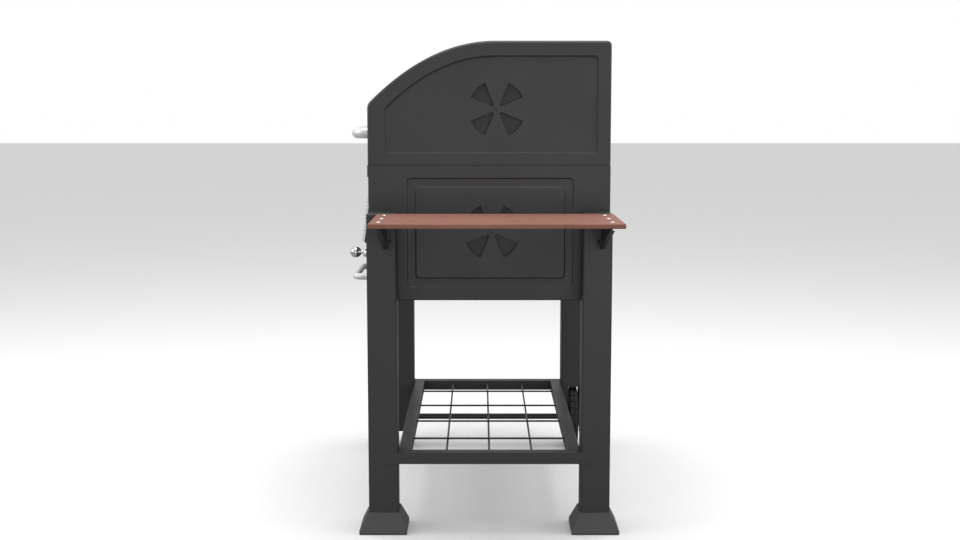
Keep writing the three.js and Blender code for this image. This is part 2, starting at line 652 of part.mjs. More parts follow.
// Ribs of triangular section run across the plate, one below the other.
function ribbedPlate() {
  const { height, base, rib, pitch } = RIB_PLATE;
  const count = Math.floor(height / pitch);
  const ribFall = 0.7 * pitch;
  const points = [[0, 0], [0, height]];
  for (let i = 0; i < count; i += 1) {
    const ribTop = height - i * pitch;
    points.push([-base, ribTop]);
    points.push([-base - rib, ribTop - ribFall]);
  }
  points.push([-base, height - count * pitch]);
  points.push([-base, 0]);
  return prismX(polygon(points), -RIB_PLATE.halfX, RIB_PLATE.halfX);
}

function addDoor(cart) {
  const lean = Math.atan((DOOR.proud - DOOR.topProud) / (DOOR.top - DOOR.bottom));
  add(cart, 'door_panel', doorPanel(), CHARCOAL);
  const plate = add(cart, 'door_ribbed_plate', ribbedPlate(), STAINLESS);
  plate.rotation.x = -lean;
  const faceY = -BOX.halfY - GAP - DOOR.proud + RIB_PLATE.foot * Math.tan(lean);
  plate.position.set(0, faceY - GAP / Math.cos(lean), DOOR.bottom + RIB_PLATE.foot);
  const rod = rodX(DOOR_ROD.radius, -DOOR_ROD.halfLength, DOOR_ROD.halfLength, DOOR_ROD.y, DOOR_ROD.z);
  add(cart, 'door_hinge_rod', rod, ZINC);
}

// ---- Ash drawer ----
function ashDrawer() {
  const { halfX, front, back, bottom, top } = DRAWER;
  const inX = halfX - SHEET;
  const hollow = block(-inX, inX, front + SHEET, back - SHEET, bottom + SHEET, top + THROUGH);
  const tray = cut(block(-halfX, halfX, front, back, bottom, top), hollow);
  const faceBack = -BOX.halfY - GAP;
  const faceFront = faceBack - DRAWER_FACE.sheet;
  const faceHalf = DRAWER_FACE.halfX;
  const face = block(-faceHalf, faceHalf, faceFront, faceBack, DRAWER_FACE.bottom, DRAWER_FACE.top);
  const neck = block(-halfX, halfX, faceBack - 1, front + 1, bottom, top);
  return join(tray, face, neck);
}

function drawerRunner(sideX) {
  const inner = sideX * (DRAWER.halfX + GAP);
  const outer = inner + sideX * SHEET;
  const foot = inner - sideX * RUNNER.foot;
  const bottom = BOX.bottom + SHEET + GAP;
  return join(
    block(foot, outer, RUNNER.front, RUNNER.back, bottom, DRAWER.bottom - GAP),
    block(inner, outer, RUNNER.front, RUNNER.back, bottom, bottom + RUNNER.height),
  );
}

function addDrawer(cart) {
  const faceFront = -BOX.halfY - 2 * GAP - DRAWER_FACE.sheet;
  add(cart, 'ash_drawer', ashDrawer(), CHARCOAL);
  add(cart, 'drawer_handle', bowHandle(DRAWER_HANDLE, faceFront, 22), SILVER);
  add(cart, 'drawer_runner_right', drawerRunner(1), ZINC);
  add(cart, 'drawer_runner_left', drawerRunner(-1), ZINC);
}

// ---- Charcoal pan and its crank ----
function charcoalPan() {
  const { halfX, halfY, bottom, height, flangeX, flangeY } = PAN;
  const top = bottom + height;
  const [inX, inY] = [halfX - SHEET, halfY - SHEET];
  const halfSlider = LIFT.width / 2;
  const outside = join(
    block(-halfX, halfX, -halfY, halfY, bottom, top),
    block(-flangeX, flangeX, -flangeY, flangeY, top - SHEET, top),
    block(-LIFT.rackBack, -LIFT.rackX, LIFT.y - halfSlider, LIFT.y + halfSlider, LIFT.bottom, top - 1),
  );
  const hollow = block(-inX, inX, -inY, inY, bottom + SHEET, top + THROUGH);
  const slots = Array.from({ length: PAN_SLOT.count }, (unused, i) => {
    const x = (i - (PAN_SLOT.count - 1) / 2) * PAN_SLOT.pitch;
    const half = PAN_SLOT.width / 2;
    const { halfLength } = PAN_SLOT;
    return block(x - half, x + half, -halfLength, halfLength, bottom - THROUGH, bottom + THROUGH);
  });
  return cut(outside, hollow, ...slots);
}

// Involute teeth. A space between two teeth is centred on +X, where a tooth of the rack stands.
function pinionShape() {
  const baseRadius = PITCH_RADIUS * Math.cos(GEAR.pressure);
  const involute = (radius) => {
    const turn = Math.acos(Math.min(1, baseRadius / radius));
    return Math.tan(turn) - turn;
  };
  const halfAtPitch = Math.PI / 2 / GEAR.teeth - GEAR.backlash / 2 / PITCH_RADIUS;
  const halfTooth = (radius) => halfAtPitch + involute(PITCH_RADIUS) - involute(Math.max(radius, baseRadius));
  const rising = [PITCH_RADIUS - DEDENDUM, baseRadius, PITCH_RADIUS, PITCH_RADIUS + ADDENDUM];
  const falling = rising.toReversed();
  const points = [];
  for (let i = 0; i < GEAR.teeth; i += 1) {
    const middle = (i + 0.5) * 2 * Math.PI / GEAR.teeth;
    for (const [side, radii] of [[-1, rising], [1, falling]]) {
      for (const radius of radii) {
        const angle = middle + side * halfTooth(radius);
        points.push([radius * Math.cos(angle), radius * Math.sin(angle)]);
      }
    }
  }
  return polygon(points);
}

function crankShaft() {
  const pinion = prismY(pinionShape(), LIFT.y - GEAR.width / 2, LIFT.y + GEAR.width / 2);
  pinion.translate(SHAFT.x, 0, SHAFT.z);
  return join(rodY(SHAFT.radius, SHAFT.front, SHAFT.back, SHAFT.x, SHAFT.z), pinion);
}

function liftRack() {
  const toothPitch = Math.PI * GEAR.module;
  const halfAtPitch = toothPitch / 4 - GEAR.backlash / 2;
  const slope = Math.tan(GEAR.pressure);
  const halfAtRoot = halfAtPitch + DEDENDUM * slope;
  const halfAtTip = halfAtPitch - ADDENDUM * slope;
  const rootX = LIFT.rackX + DEDENDUM;
  const tipX = LIFT.rackX - ADDENDUM;
  const top = PAN.bottom + PAN.height - SHEET - GAP;
  const below = Math.floor((SHAFT.z - LIFT.bottom) / toothPitch) - 1;
  const above = 2;
  const points = [[rootX, LIFT.bottom]];
  for (let i = -below; i <= above; i += 1) {
    const middle = SHAFT.z + i * toothPitch;
    points.push([rootX, middle - halfAtRoot]);
    points.push([tipX, middle - halfAtTip]);
    points.push([tipX, middle + halfAtTip]);
    points.push([rootX, middle + halfAtRoot]);
  }
  points.push([rootX, top]);
  points.push([LIFT.rackBack, top]);
  points.push([LIFT.rackBack, LIFT.bottom]);
  return prismY(polygon(points), LIFT.y - LIFT.width / 2, LIFT.y + LIFT.width / 2);
}

// A channel that the rack, or the plain bar at the other end of the pan, slides in.
function panGuide(sideX) {
  const inner = LIFT.width / 2 + GUIDE.slack;
  const outer = inner + SHEET;
  const back = sideX * (GUIDE.back + SHEET);
  const web = sideX * GUIDE.back;
  const open = back - sideX * (GUIDE.depth + SHEET);
  const channel = polygon([
    [open, LIFT.y - outer],
    [back, LIFT.y - outer],
    [back, LIFT.y + outer],
    [open, LIFT.y + outer],
    [open, LIFT.y + inner],
    [web, LIFT.y + inner],
    [web, LIFT.y - inner],
    [open, LIFT.y - inner],
  ]);
  return prismZ(channel, GUIDE.bottom, GUIDE.top);
}

function shaftBracket() {
  const { front, thick, left, bottom, top } = SHAFT_BRACKET;
  const plate = block(left, GUIDE.back + SHEET, front, front + thick, bottom, top);
  return cut(plate, rodY(SHAFT.radius + GAP, front - THROUGH, front + thick + THROUGH, SHAFT.x, SHAFT.z));
}

function crankBush() {
  const bore = SHAFT.radius + GAP;
  const flangeBack = -BOX.halfY - GAP;
  const flangeFront = flangeBack - BUSH.flangeThick;
  const ring = turned([
    [bore, flangeFront],
    [BUSH.flange, flangeFront],
    [BUSH.flange, flangeBack],
    [BUSH.outer, flangeBack],
    [BUSH.outer, BUSH.back],
    [bore, BUSH.back],
    [bore, flangeFront],
  ], ROD_SIDES);
  return ring.translate(SHAFT.x, 0, SHAFT.z);
}

function crankArm() {
  const half = CRANK.armWidth / 2;
  const shape = roundedRectangle(-CRANK.arm - half, half, -half, half, half - GAP);
  const back = SHAFT.front - GAP;
  return prismY(shape, back - CRANK.armThick, back).translate(SHAFT.x, 0, SHAFT.z);
}

function crankKnob() {
  const stemEnd = SHAFT.front - 2 * GAP - CRANK.armThick;
  const centre = CRANK.tip + CRANK.ball;
  const steps = 8;
  const wrap = degrees(140);
  const profile = [[0, CRANK.tip]];
  for (let i = 1; i <= steps; i += 1) {
    const angle = wrap * i / steps;
    profile.push([CRANK.ball * Math.sin(angle), centre - CRANK.ball * Math.cos(angle)]);
  }
  profile.push([CRANK.stem, stemEnd - CRANK.neck]);
  profile.push([CRANK.stem, stemEnd]);
  profile.push([0, stemEnd]);
  return turned(profile, 20).translate(SHAFT.x - CRANK.arm, 0, SHAFT.z);
}

function addPanLift(cart) {
  add(cart, 'charcoal_pan', charcoalPan(), ENAMEL);
  add(cart, 'lift_rack', liftRack(), ZINC);
  add(cart, 'pan_guide_right', panGuide(1), ZINC);
  add(cart, 'pan_guide_left', panGuide(-1), ZINC);
  add(cart, 'crank_shaft', crankShaft(), ZINC);
  add(cart, 'shaft_bracket', shaftBracket(), ZINC);
  add(cart, 'crank_bush', crankBush(), ZINC);
  add(cart, 'crank_arm', crankArm(), CHROME);
  add(cart, 'crank_knob', crankKnob(), CHROME);
}

// ---- Cooking grates ----
function cookingGrate(sideX) {
  const { halfY, inner, outer, bottom, height, frame, bar, bars } = GRATE;
  const top = bottom + height;
  const shape = rectangle(sideX * inner, sideX * outer, -halfY, halfY);
  const [holeInner, holeOuter] = [sideX * (inner + frame), sideX * (outer - frame)];
  shape.holes.push(rectangle(holeInner, holeOuter, -halfY + frame, halfY - frame));
  const pitch = (outer - inner - frame) / (bars + 1);
  const halfRod = halfY - frame / 2;
  const rods = Array.from({ length: bars }, (unused, i) => {
    const x = sideX * (inner + frame / 2 + (i + 1) * pitch);
    return block(x - bar / 2, x + bar / 2, -halfRod, halfRod, top - bar - 1, top - 1);
  });
  return join(prismZ(shape, bottom, top), ...rods);
}

function grateLedge(sideY) {
  const wall = sideY * (BOX.halfY - SHEET - GAP);
  const top = GRATE.bottom - GAP;
  const hanging = wall - sideY * SHEET;
  const edge = wall - sideY * LEDGE.width;
  const angle = polygon([
    [wall, top],
    [wall, top - LEDGE.drop],
    [hanging, top - LEDGE.drop],
    [hanging, top - SHEET],
    [edge, top - SHEET],
    [edge, top],
  ]);
  return prismX(angle, -LEDGE.halfX, LEDGE.halfX);
}

function addGrates(cart) {
  add(cart, 'cooking_grate_right', cookingGrate(1), ENAMEL);
  add(cart, 'cooking_grate_left', cookingGrate(-1), ENAMEL);
  add(cart, 'grate_ledge_front', grateLedge(-1), ZINC);
  add(cart, 'grate_ledge_back', grateLedge(1), ZINC);
}

const trolley = new THREE.Group();
trolley.position.set(-MIDDLE_X, -MIDDLE_Y, 0);
addLegs(trolley);
addWheels(trolley);
addRack(trolley);
addFirebox(trolley);
addLid(trolley);
addShelf(trolley);
addDoor(trolley);
addDrawer(trolley);
addPanLift(trolley);
addGrates(trolley);

export default trolley;
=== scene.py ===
import json
import math
from math import radians

import bmesh
import bpy
from bpy.props import FloatProperty, FloatVectorProperty, IntProperty, PointerProperty
from mathutils import Matrix, Vector
from mathutils.geometry import tessellate_polygon

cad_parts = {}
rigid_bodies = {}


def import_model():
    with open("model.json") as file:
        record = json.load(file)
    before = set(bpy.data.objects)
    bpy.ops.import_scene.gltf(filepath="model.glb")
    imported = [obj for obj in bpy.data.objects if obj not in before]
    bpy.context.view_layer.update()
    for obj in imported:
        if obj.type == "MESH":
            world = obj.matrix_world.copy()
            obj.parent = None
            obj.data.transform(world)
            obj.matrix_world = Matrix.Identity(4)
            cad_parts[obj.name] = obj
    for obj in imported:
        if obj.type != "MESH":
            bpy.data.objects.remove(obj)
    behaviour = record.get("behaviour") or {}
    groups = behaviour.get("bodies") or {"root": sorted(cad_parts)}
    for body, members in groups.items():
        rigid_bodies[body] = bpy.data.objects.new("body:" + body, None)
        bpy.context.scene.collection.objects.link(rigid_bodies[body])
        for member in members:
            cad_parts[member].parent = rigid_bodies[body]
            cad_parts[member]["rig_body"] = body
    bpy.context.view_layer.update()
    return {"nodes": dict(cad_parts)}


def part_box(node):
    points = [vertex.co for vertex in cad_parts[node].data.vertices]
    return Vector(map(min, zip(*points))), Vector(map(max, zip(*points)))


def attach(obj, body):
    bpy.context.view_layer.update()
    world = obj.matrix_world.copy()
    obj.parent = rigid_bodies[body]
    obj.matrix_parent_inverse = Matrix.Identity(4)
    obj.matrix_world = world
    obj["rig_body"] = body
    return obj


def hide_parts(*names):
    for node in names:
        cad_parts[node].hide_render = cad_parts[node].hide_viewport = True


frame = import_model()

bl_info = {
    "name": "Charcoal Barbecue Trolley",
    "version": (1, 0, 0),
    "blender": (4, 5, 0),
    "location": "View3D > Sidebar > Barbecue",
    "description": "Builds the looks of a charcoal barbecue trolley around its packed CAD model",
    "category": "Object",
}

MM = 0.001


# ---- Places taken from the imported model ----
def middle(node):
    low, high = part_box(node)
    return (low + high) / 2


# The trolley's own origin is on the floor, in the middle of its four legs.
ORIGIN = Vector((
    (middle("leg_shelf_side_front").x + middle("leg_wheel_side_front").x) / 2,
    (middle("leg_shelf_side_front").y + middle("leg_shelf_side_back").y) / 2,
    0,
))
TO_FRAME = Matrix.Translation(ORIGIN) @ Matrix.Scale(MM, 4)
FROM_FRAME = TO_FRAME.inverted()


def span(node):
    """The lowest and highest corner of a CAD node, in millimetres from the trolley's own origin."""
    low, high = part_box(node)
    return FROM_FRAME @ low, FROM_FRAME @ high


def middle_of(node):
    low, high = span(node)
    return (low + high) / 2


# ---- Sizes and colours that a user would change ----
def length(name, description, default):
    return FloatProperty(name=name, description=description, default=default * MM, min=0, unit="LENGTH")


def colour(name, description, default):
    return FloatVectorProperty(
        name=name, description=description, default=default, size=3, min=0, max=1, subtype="COLOR"
    )


def watts(name, description, default):
    return FloatProperty(name=name, description=description, default=default, min=0, subtype="POWER")


class TrolleySizes(bpy.types.PropertyGroup):
    tube_corner: length("Tube Corner", "Radius of the corners of the square legs", 4.0)
    sheet: length("Sheet", "Thickness of the pressed steel", 2.0)
    burr: length("Broken Edge", "Radius of the small edges of cut sheet", 0.45)
    lid_roll: length("Lid Roll", "Radius of the rolled edge round the lid's side panels", 7.0)
    press_radius: length("Press Radius", "Width of the shoulders of the pressed fields", 3.2)
    petal_tip: length("Petal Tip", "Radius of the inner end of a vent petal", 3.2)
    wire: length("Rack Wire", "Radius of the wires of the rack's grille", 2.25)
    grate_rod: length("Grate Rod", "Radius of the rods of the cooking grates", 2.0)
    board_edge: length("Board Edge", "Radius of the shelf boards' edges", 1.6)
    screw_head: length("Screw Head", "Radius of the shelf screws' heads", 5.2)
    rivet_head: length("Rivet Head", "Radius of the hinge rivets' heads", 3.0)
    tread_blocks: IntProperty(name="Tread Blocks", description="Blocks round a tyre", default=26, min=8)
    hub_ribs: IntProperty(name="Hub Ribs", description="Ribs on a face of a wheel's hub", default=10, min=3)


class TrolleyColours(bpy.types.PropertyGroup):
    powder: colour("Powder Coat", "Charcoal powder coat of the steel", (0.0236, 0.0248, 0.0247))
    # Foot Coat is the legs' charcoal made about twice as light: painted light for the top light that the
    # feet's upturned slopes catch.
    foot: colour("Foot Coat", "Moulded feet", (0.048, 0.0492, 0.0495))
    silver: colour("Silver Coat", "Silver paint of the handles", (0.80, 0.80, 0.795))
    wood_light: colour("Wood, Light", "Early wood of the shelf boards", (0.37, 0.172, 0.129))
    wood_dark: colour("Wood, Dark", "Late wood of the shelf boards", (0.215, 0.082, 0.058))
    # The dampers don't take this enamel: their dark coat is painted shade, made from the powder coat.
    enamel: colour("Enamel", "Black enamel of the pan, grates and dampers", (0.018, 0.0185, 0.019))
    tyre: colour("Tyre", "Rubber of the tyres", (0.02, 0.02, 0.0208))
    hub: colour("Hub", "Moulded plastic of the hubs", (0.021, 0.0215, 0.022))


class TrolleyStudio(bpy.types.PropertyGroup):
    camera_place: FloatVectorProperty(
        name="Camera Place", description="Camera's place from the trolley's own origin",
        default=(3.246, -0.0204, 0.936), size=3, subtype="TRANSLATION", unit="LENGTH",
    )
    camera_pitch: FloatProperty(
        name="Camera Pitch", description="How far the camera looks down",
        default=radians(7.047), subtype="ANGLE",
    )
    lens: FloatProperty(name="Lens", description="Focal length in millimetres", default=50.0)
    floor_bounce: FloatProperty(
        name="Floor Bounce", description="How much light the floor throws back up", default=0.3, min=0, max=1,
    )
    surround: FloatProperty(name="Surround", description="Strength of the light from all round", default=0.68)
    side_light: watts("Side Lights", "Power of each side light", 34.0)
    top_light: watts("Top Light", "Power of the light above", 62.0)
    camera_light: watts("Camera Light", "Power of the light by the camera", 17.0)


def sizes():
    return bpy.context.scene.trolley_sizes


def mm(value):
    return value / MM


def colours():
    return bpy.context.scene.trolley_colours


# ---- Nodes ----
def add_node(tree, kind, inputs=None, **settings):
    node = tree.nodes.new(kind)
    for name, value in settings.items():
        setattr(node, name, value)
    for name, value in (inputs or {}).items():
        if isinstance(value, bpy.types.NodeSocket):
            tree.links.new(value, node.inputs[name])
        else:
            node.inputs[name].default_value = value
    return node


def math_node(tree, operation, a, b=0.0, clamp=False):
    return add_node(tree, "ShaderNodeMath", {0: a, 1: b}, operation=operation, use_clamp=clamp).outputs[0]


def ranged(tree, value, low, high, to_low=0.0, to_high=1.0):
    node = add_node(
        tree, "ShaderNodeMapRange",
        {"Value": value, "From Min": low, "From Max": high, "To Min": to_low, "To Max": to_high},
        interpolation_type="SMOOTHSTEP",
    )
    return node.outputs["Result"]


def new_group(name, inputs, outputs):
    """An empty shader node group with float inputs {name: default} and outputs {name: socket type}."""
    tree = bpy.data.node_groups.new(name, "ShaderNodeTree")
    tree.interface.new_socket("Vector", in_out="INPUT", socket_type="NodeSocketVector")
    for label, default in inputs.items():
        socket = tree.interface.new_socket(label, in_out="INPUT", socket_type="NodeSocketFloat")
        socket.default_value = default
    for label, kind in outputs.items():
        tree.interface.new_socket(label, in_out="OUTPUT", socket_type=kind)
    return tree, tree.nodes.new("NodeGroupInput").outputs, tree.nodes.new("NodeGroupOutput").inputs


def group(name):
    """A shared shader node group, built the first time it is asked for."""
    return bpy.data.node_groups.get(name) or GROUPS[name](name)


def build_powder_grain(name):
    """The pebbled skin and colour flecks of a sprayed or baked coat."""
    tree, given, out = new_group(
        name, {"Pebble Scale": 700.0, "Fleck Scale": 2400.0, "Cloud Scale": 5.0},
        {"Height": "NodeSocketFloat", "Fleck": "NodeSocketFloat", "Cloud": "NodeSocketFloat"},
    )
    pebble = add_node(tree, "ShaderNodeTexNoise", {
        "Vector": given["Vector"], "Scale": given["Pebble Scale"], "Detail": 2.0, "Roughness": 0.45,
    })
    fleck = add_node(tree, "ShaderNodeTexNoise", {
        "Vector": given["Vector"], "Scale": given["Fleck Scale"], "Detail": 0.0,
    })
    cloud = add_node(tree, "ShaderNodeTexNoise", {
        "Vector": given["Vector"], "Scale": given["Cloud Scale"], "Detail": 4.0, "Roughness": 0.55,
    })
    tree.links.new(pebble.outputs["Fac"], out["Height"])
    tree.links.new(ranged(tree, fleck.outputs["Fac"], 0.6, 0.78), out["Fleck"])
    tree.links.new(ranged(tree, cloud.outputs["Fac"], 0.3, 0.7), out["Cloud"])
    return tree


def build_rubbed_edges(name):
    """A mask of the outer edges, broken up as hands and use rub them."""
    tree, given, out = new_group(
        name, {"Width": 0.0014, "Break Up": 160.0}, {"Mask": "NodeSocketFloat"},
    )
    rounded = add_node(tree, "ShaderNodeBevel", {"Radius": given["Width"]}, samples=4)
    true = tree.nodes.new("ShaderNodeNewGeometry")
    along = add_node(tree, "ShaderNodeVectorMath", {
        0: rounded.outputs["Normal"], 1: true.outputs["True Normal"],
    }, operation="DOT_PRODUCT")
    edge = ranged(tree, math_node(tree, "SUBTRACT", 1.0, along.outputs["Value"]), 0.04, 0.22)
    patches = add_node(tree, "ShaderNodeTexNoise", {
        "Vector": given["Vector"], "Scale": given["Break Up"], "Detail": 3.0,
    })
    broken = ranged(tree, patches.outputs["Fac"], 0.38, 0.62)
    tree.links.new(math_node(tree, "MULTIPLY", edge, broken), out["Mask"])
    return tree


def build_settled_dust(name):
    """A thin veil of ash on faces that look up, heavier in patches."""
    tree, given, out = new_group(name, {"Patch Scale": 14.0}, {"Mask": "NodeSocketFloat"})
    geometry = tree.nodes.new("ShaderNodeNewGeometry")
    parts = add_node(tree, "ShaderNodeSeparateXYZ", {"Vector": geometry.outputs["Normal"]})
    upward = ranged(tree, parts.outputs["Z"], 0.5, 1.0)
    patches = add_node(tree, "ShaderNodeTexNoise", {
        "Vector": given["Vector"], "Scale": given["Patch Scale"], "Detail": 6.0, "Roughness": 0.6,
    })
    patchy = ranged(tree, patches.outputs["Fac"], 0.35, 0.75)
    tree.links.new(math_node(tree, "MULTIPLY", upward, patchy), out["Mask"])
    return tree


def build_brush_lines(name):
    """Fine lines along X, as a brushing belt leaves them."""
    tree, given, out = new_group(
        name, {"Across": 2600.0, "Along": 26.0}, {"Height": "NodeSocketFloat", "Line": "NodeSocketFloat"},
    )
    scale = add_node(tree, "ShaderNodeCombineXYZ", {
        "X": given["Along"], "Y": given["Across"], "Z": given["Across"],
    })
    stretched = add_node(tree, "ShaderNodeVectorMath", {
        0: given["Vector"], 1: scale.outputs["Vector"],
    }, operation="MULTIPLY")
    lines = add_node(tree, "ShaderNodeTexNoise", {
        "Vector": stretched.outputs["Vector"], "Scale": 1.0, "Detail": 3.0, "Roughness": 0.6,
    })
    tree.links.new(lines.outputs["Fac"], out["Height"])
    tree.links.new(ranged(tree, lines.outputs["Fac"], 0.3, 0.7), out["Line"])
    return tree


def build_wood_figure(name):
    """Long grain along Y: broad rings, fine fibres and short dark pores."""
    tree, given, out = new_group(
        name, {"Ring Scale": 26.0, "Fibre Scale": 420.0, "Stretch": 0.055},
        {"Ring": "NodeSocketFloat", "Fibre": "NodeSocketFloat", "Pore": "NodeSocketFloat"},
    )
    scale = add_node(tree, "ShaderNodeCombineXYZ", {"X": 1.0, "Y": given["Stretch"], "Z": 1.0})
    long = add_node(tree, "ShaderNodeVectorMath", {
        0: given["Vector"], 1: scale.outputs["Vector"],
    }, operation="MULTIPLY").outputs["Vector"]
    bend = add_node(tree, "ShaderNodeTexNoise", {"Vector": long, "Scale": 9.0, "Detail": 2.0})
    shift = add_node(tree, "ShaderNodeVectorMath", {
        0: bend.outputs["Color"], "Scale": 0.035,
    }, operation="SCALE").outputs["Vector"]
    bent = add_node(tree, "ShaderNodeVectorMath", {0: long, 1: shift}, operation="ADD").outputs["Vector"]
    rings = add_node(tree, "ShaderNodeTexWave", {
        "Vector": bent, "Scale": given["Ring Scale"], "Distortion": 2.2, "Detail": 3.0,
        "Detail Scale": 1.6, "Detail Roughness": 0.6,
    }, wave_type="BANDS", bands_direction="X", wave_profile="SAW")
    fibres = add_node(tree, "ShaderNodeTexNoise", {
        "Vector": long, "Scale": given["Fibre Scale"], "Detail": 4.0, "Roughness": 0.7,
    })
    pores = add_node(tree, "ShaderNodeTexNoise", {
        "Vector": long, "Scale": math_node(tree, "MULTIPLY", given["Fibre Scale"], 2.2), "Detail": 1.0,
    })
    tree.links.new(rings.outputs["Fac"], out["Ring"])
    tree.links.new(fibres.outputs["Fac"], out["Fibre"])
    tree.links.new(ranged(tree, pores.outputs["Fac"], 0.62, 0.74), out["Pore"])
    return tree


GROUPS = {
    "powder_grain": build_powder_grain,
    "rubbed_edges": build_rubbed_edges,
    "settled_dust": build_settled_dust,
    "brush_lines": build_brush_lines,
    "wood_figure": build_wood_figure,
}


# ---- Materials ----
def blank_material(name, **values):
    """A material with one Principled BSDF, whose fixed values are set on its own sockets."""
    material = bpy.data.materials.new(name)
    material.use_nodes = True
    tree = material.node_tree
    tree.nodes.clear()
    shader = add_node(tree, "ShaderNodeBsdfPrincipled", {k.replace("_", " "): v for k, v in values.items()})
    output = tree.nodes.new("ShaderNodeOutputMaterial")
    tree.links.new(shader.outputs["BSDF"], output.inputs["Surface"])
    return material, tree, shader


def placed(tree, shift=(0, 0, 0)):
    """The piece's own coordinates, moved by shift so that like pieces differ."""
    where = tree.nodes.new("ShaderNodeTexCoord")
    return add_node(tree, "ShaderNodeMapping", {
        "Vector": where.outputs["Object"], "Location": shift,
    }).outputs["Vector"]


def use(tree, name, where, **values):
    node = tree.nodes.new("ShaderNodeGroup")
    node.node_tree = group(name)
    tree.links.new(where, node.inputs["Vector"])
    for label, value in values.items():
        node.inputs[label.replace("_", " ")].default_value = value
    return node.outputs


def blended(tree, mask, first, second, how="MIX"):
    """first where mask is 0 and second where it is 1; either may be a colour or a socket."""
    node = add_node(tree, "ShaderNodeMix", data_type="RGBA", blend_type=how, clamp_factor=True)
    for index, value in ((0, mask), (6, first), (7, second)):
        if isinstance(value, bpy.types.NodeSocket):
            tree.links.new(value, node.inputs[index])
        else:
            node.inputs[index].default_value = value if index == 0 else (*tuple(value)[:3], 1.0)
    return node.outputs[2]


def bump(tree, shader, height, distance, strength=1.0):
    node = add_node(tree, "ShaderNodeBump", {"Height": height, "Distance": distance, "Strength": strength})
    tree.links.new(node.outputs["Normal"], shader.inputs["Normal"])


def shade(base, amount):
    return tuple(min(1.0, c * amount) for c in tuple(base)[:3])


def coated_steel(name, base, roughness, peel=0.00006, fleck=1.5, dust=0.16, wear=0.35):
    """Powder coat: pebbled, flecked, faintly rubbed on its edges and dusty on top."""
    material, tree, shader = blank_material(name, IOR=1.5)
    where = placed(tree)
    grain = use(tree, "powder_grain", where)
    edge = use(tree, "rubbed_edges", where)["Mask"]
    ash = use(tree, "settled_dust", where)["Mask"]
    body = blended(tree, grain["Cloud"], shade(base, 0.95), shade(base, 1.05))
    body = blended(tree, math_node(tree, "MULTIPLY", grain["Fleck"], 0.5), body, shade(base, fleck))
    body = blended(tree, math_node(tree, "MULTIPLY", edge, wear), body, shade(base, 2.4))
    body = blended(tree, math_node(tree, "MULTIPLY", ash, dust), body, (0.16, 0.155, 0.15))
    tree.links.new(body, shader.inputs["Base Color"])
    rough = ranged(tree, grain["Cloud"], 0.0, 1.0, roughness - 0.03, roughness + 0.03)
    rough = math_node(tree, "SUBTRACT", rough, math_node(tree, "MULTIPLY", edge, 0.1))
    tree.links.new(rough, shader.inputs["Roughness"])
    bump(tree, shader, grain["Height"], peel)
    return material


def silver_paint(name, base):
    """Metallic paint with fine flake, over bent bar."""
    material, tree, shader = blank_material(name, Metallic=0.35)
    where = placed(tree)
    grain = use(tree, "powder_grain", where, Pebble_Scale=950.0, Fleck_Scale=3200.0, Cloud_Scale=18.0)
    edge = use(tree, "rubbed_edges", where)["Mask"]
    body = blended(tree, grain["Cloud"], shade(base, 0.96), shade(base, 1.03))
    body = blended(tree, math_node(tree, "MULTIPLY", grain["Fleck"], 0.4), body, shade(base, 1.3))
    body = blended(tree, math_node(tree, "MULTIPLY", edge, 0.25), body, shade(base, 0.8))
    tree.links.new(body, shader.inputs["Base Color"])
    tree.links.new(ranged(tree, grain["Cloud"], 0.0, 1.0, 0.36, 0.44), shader.inputs["Roughness"])
    bump(tree, shader, grain["Height"], 0.00003)
    return material


def brushed_steel(name, base, roughness):
    material, tree, shader = blank_material(name, Metallic=1.0)
    where = placed(tree)
    brush = use(tree, "brush_lines", where)
    grain = use(tree, "powder_grain", where, Cloud_Scale=22.0)
    body = blended(tree, brush["Line"], shade(base, 0.86), shade(base, 1.06))
    body = blended(tree, math_node(tree, "MULTIPLY", grain["Cloud"], 0.25), body, shade(base, 0.8))
    tree.links.new(body, shader.inputs["Base Color"])
    rough = ranged(tree, brush["Line"], 0.0, 1.0, roughness - 0.06, roughness + 0.06)
    tree.links.new(rough, shader.inputs["Roughness"])
    bump(tree, shader, brush["Height"], 0.00003)
    return material


def chrome_plate(name):
    """Bright plating with faint wipe marks."""
    material, tree, shader = blank_material(name, Metallic=1.0)
    grain = use(tree, "powder_grain", placed(tree), Pebble_Scale=120.0, Cloud_Scale=60.0)
    body = blended(tree, grain["Cloud"], (0.62, 0.63, 0.64), (0.72, 0.72, 0.72))
    tree.links.new(body, shader.inputs["Base Color"])
    tree.links.new(ranged(tree, grain["Cloud"], 0.0, 1.0, 0.05, 0.11), shader.inputs["Roughness"])
    bump(tree, shader, grain["Height"], 0.00001)
    return material


def zinc_plate(name):
    """Plated fixings, with the spangle that zinc cools into."""
    material, tree, shader = blank_material(name, Metallic=1.0)
    where = placed(tree)
    spangle = add_node(tree, "ShaderNodeTexVoronoi", {"Vector": where, "Scale": 130.0})
    parts = add_node(tree, "ShaderNodeSeparateColor", {"Color": spangle.outputs["Color"]})
    grain = use(tree, "powder_grain", where)
    body = blended(tree, parts.outputs[0], (0.40, 0.41, 0.42), (0.54, 0.55, 0.56))
    body = blended(tree, math_node(tree, "MULTIPLY", grain["Cloud"], 0.3), body, (0.36, 0.355, 0.345))
    tree.links.new(body, shader.inputs["Base Color"])
    tree.links.new(ranged(tree, parts.outputs[1], 0.0, 1.0, 0.32, 0.5), shader.inputs["Roughness"])
    bump(tree, shader, grain["Height"], 0.00003)
    return material


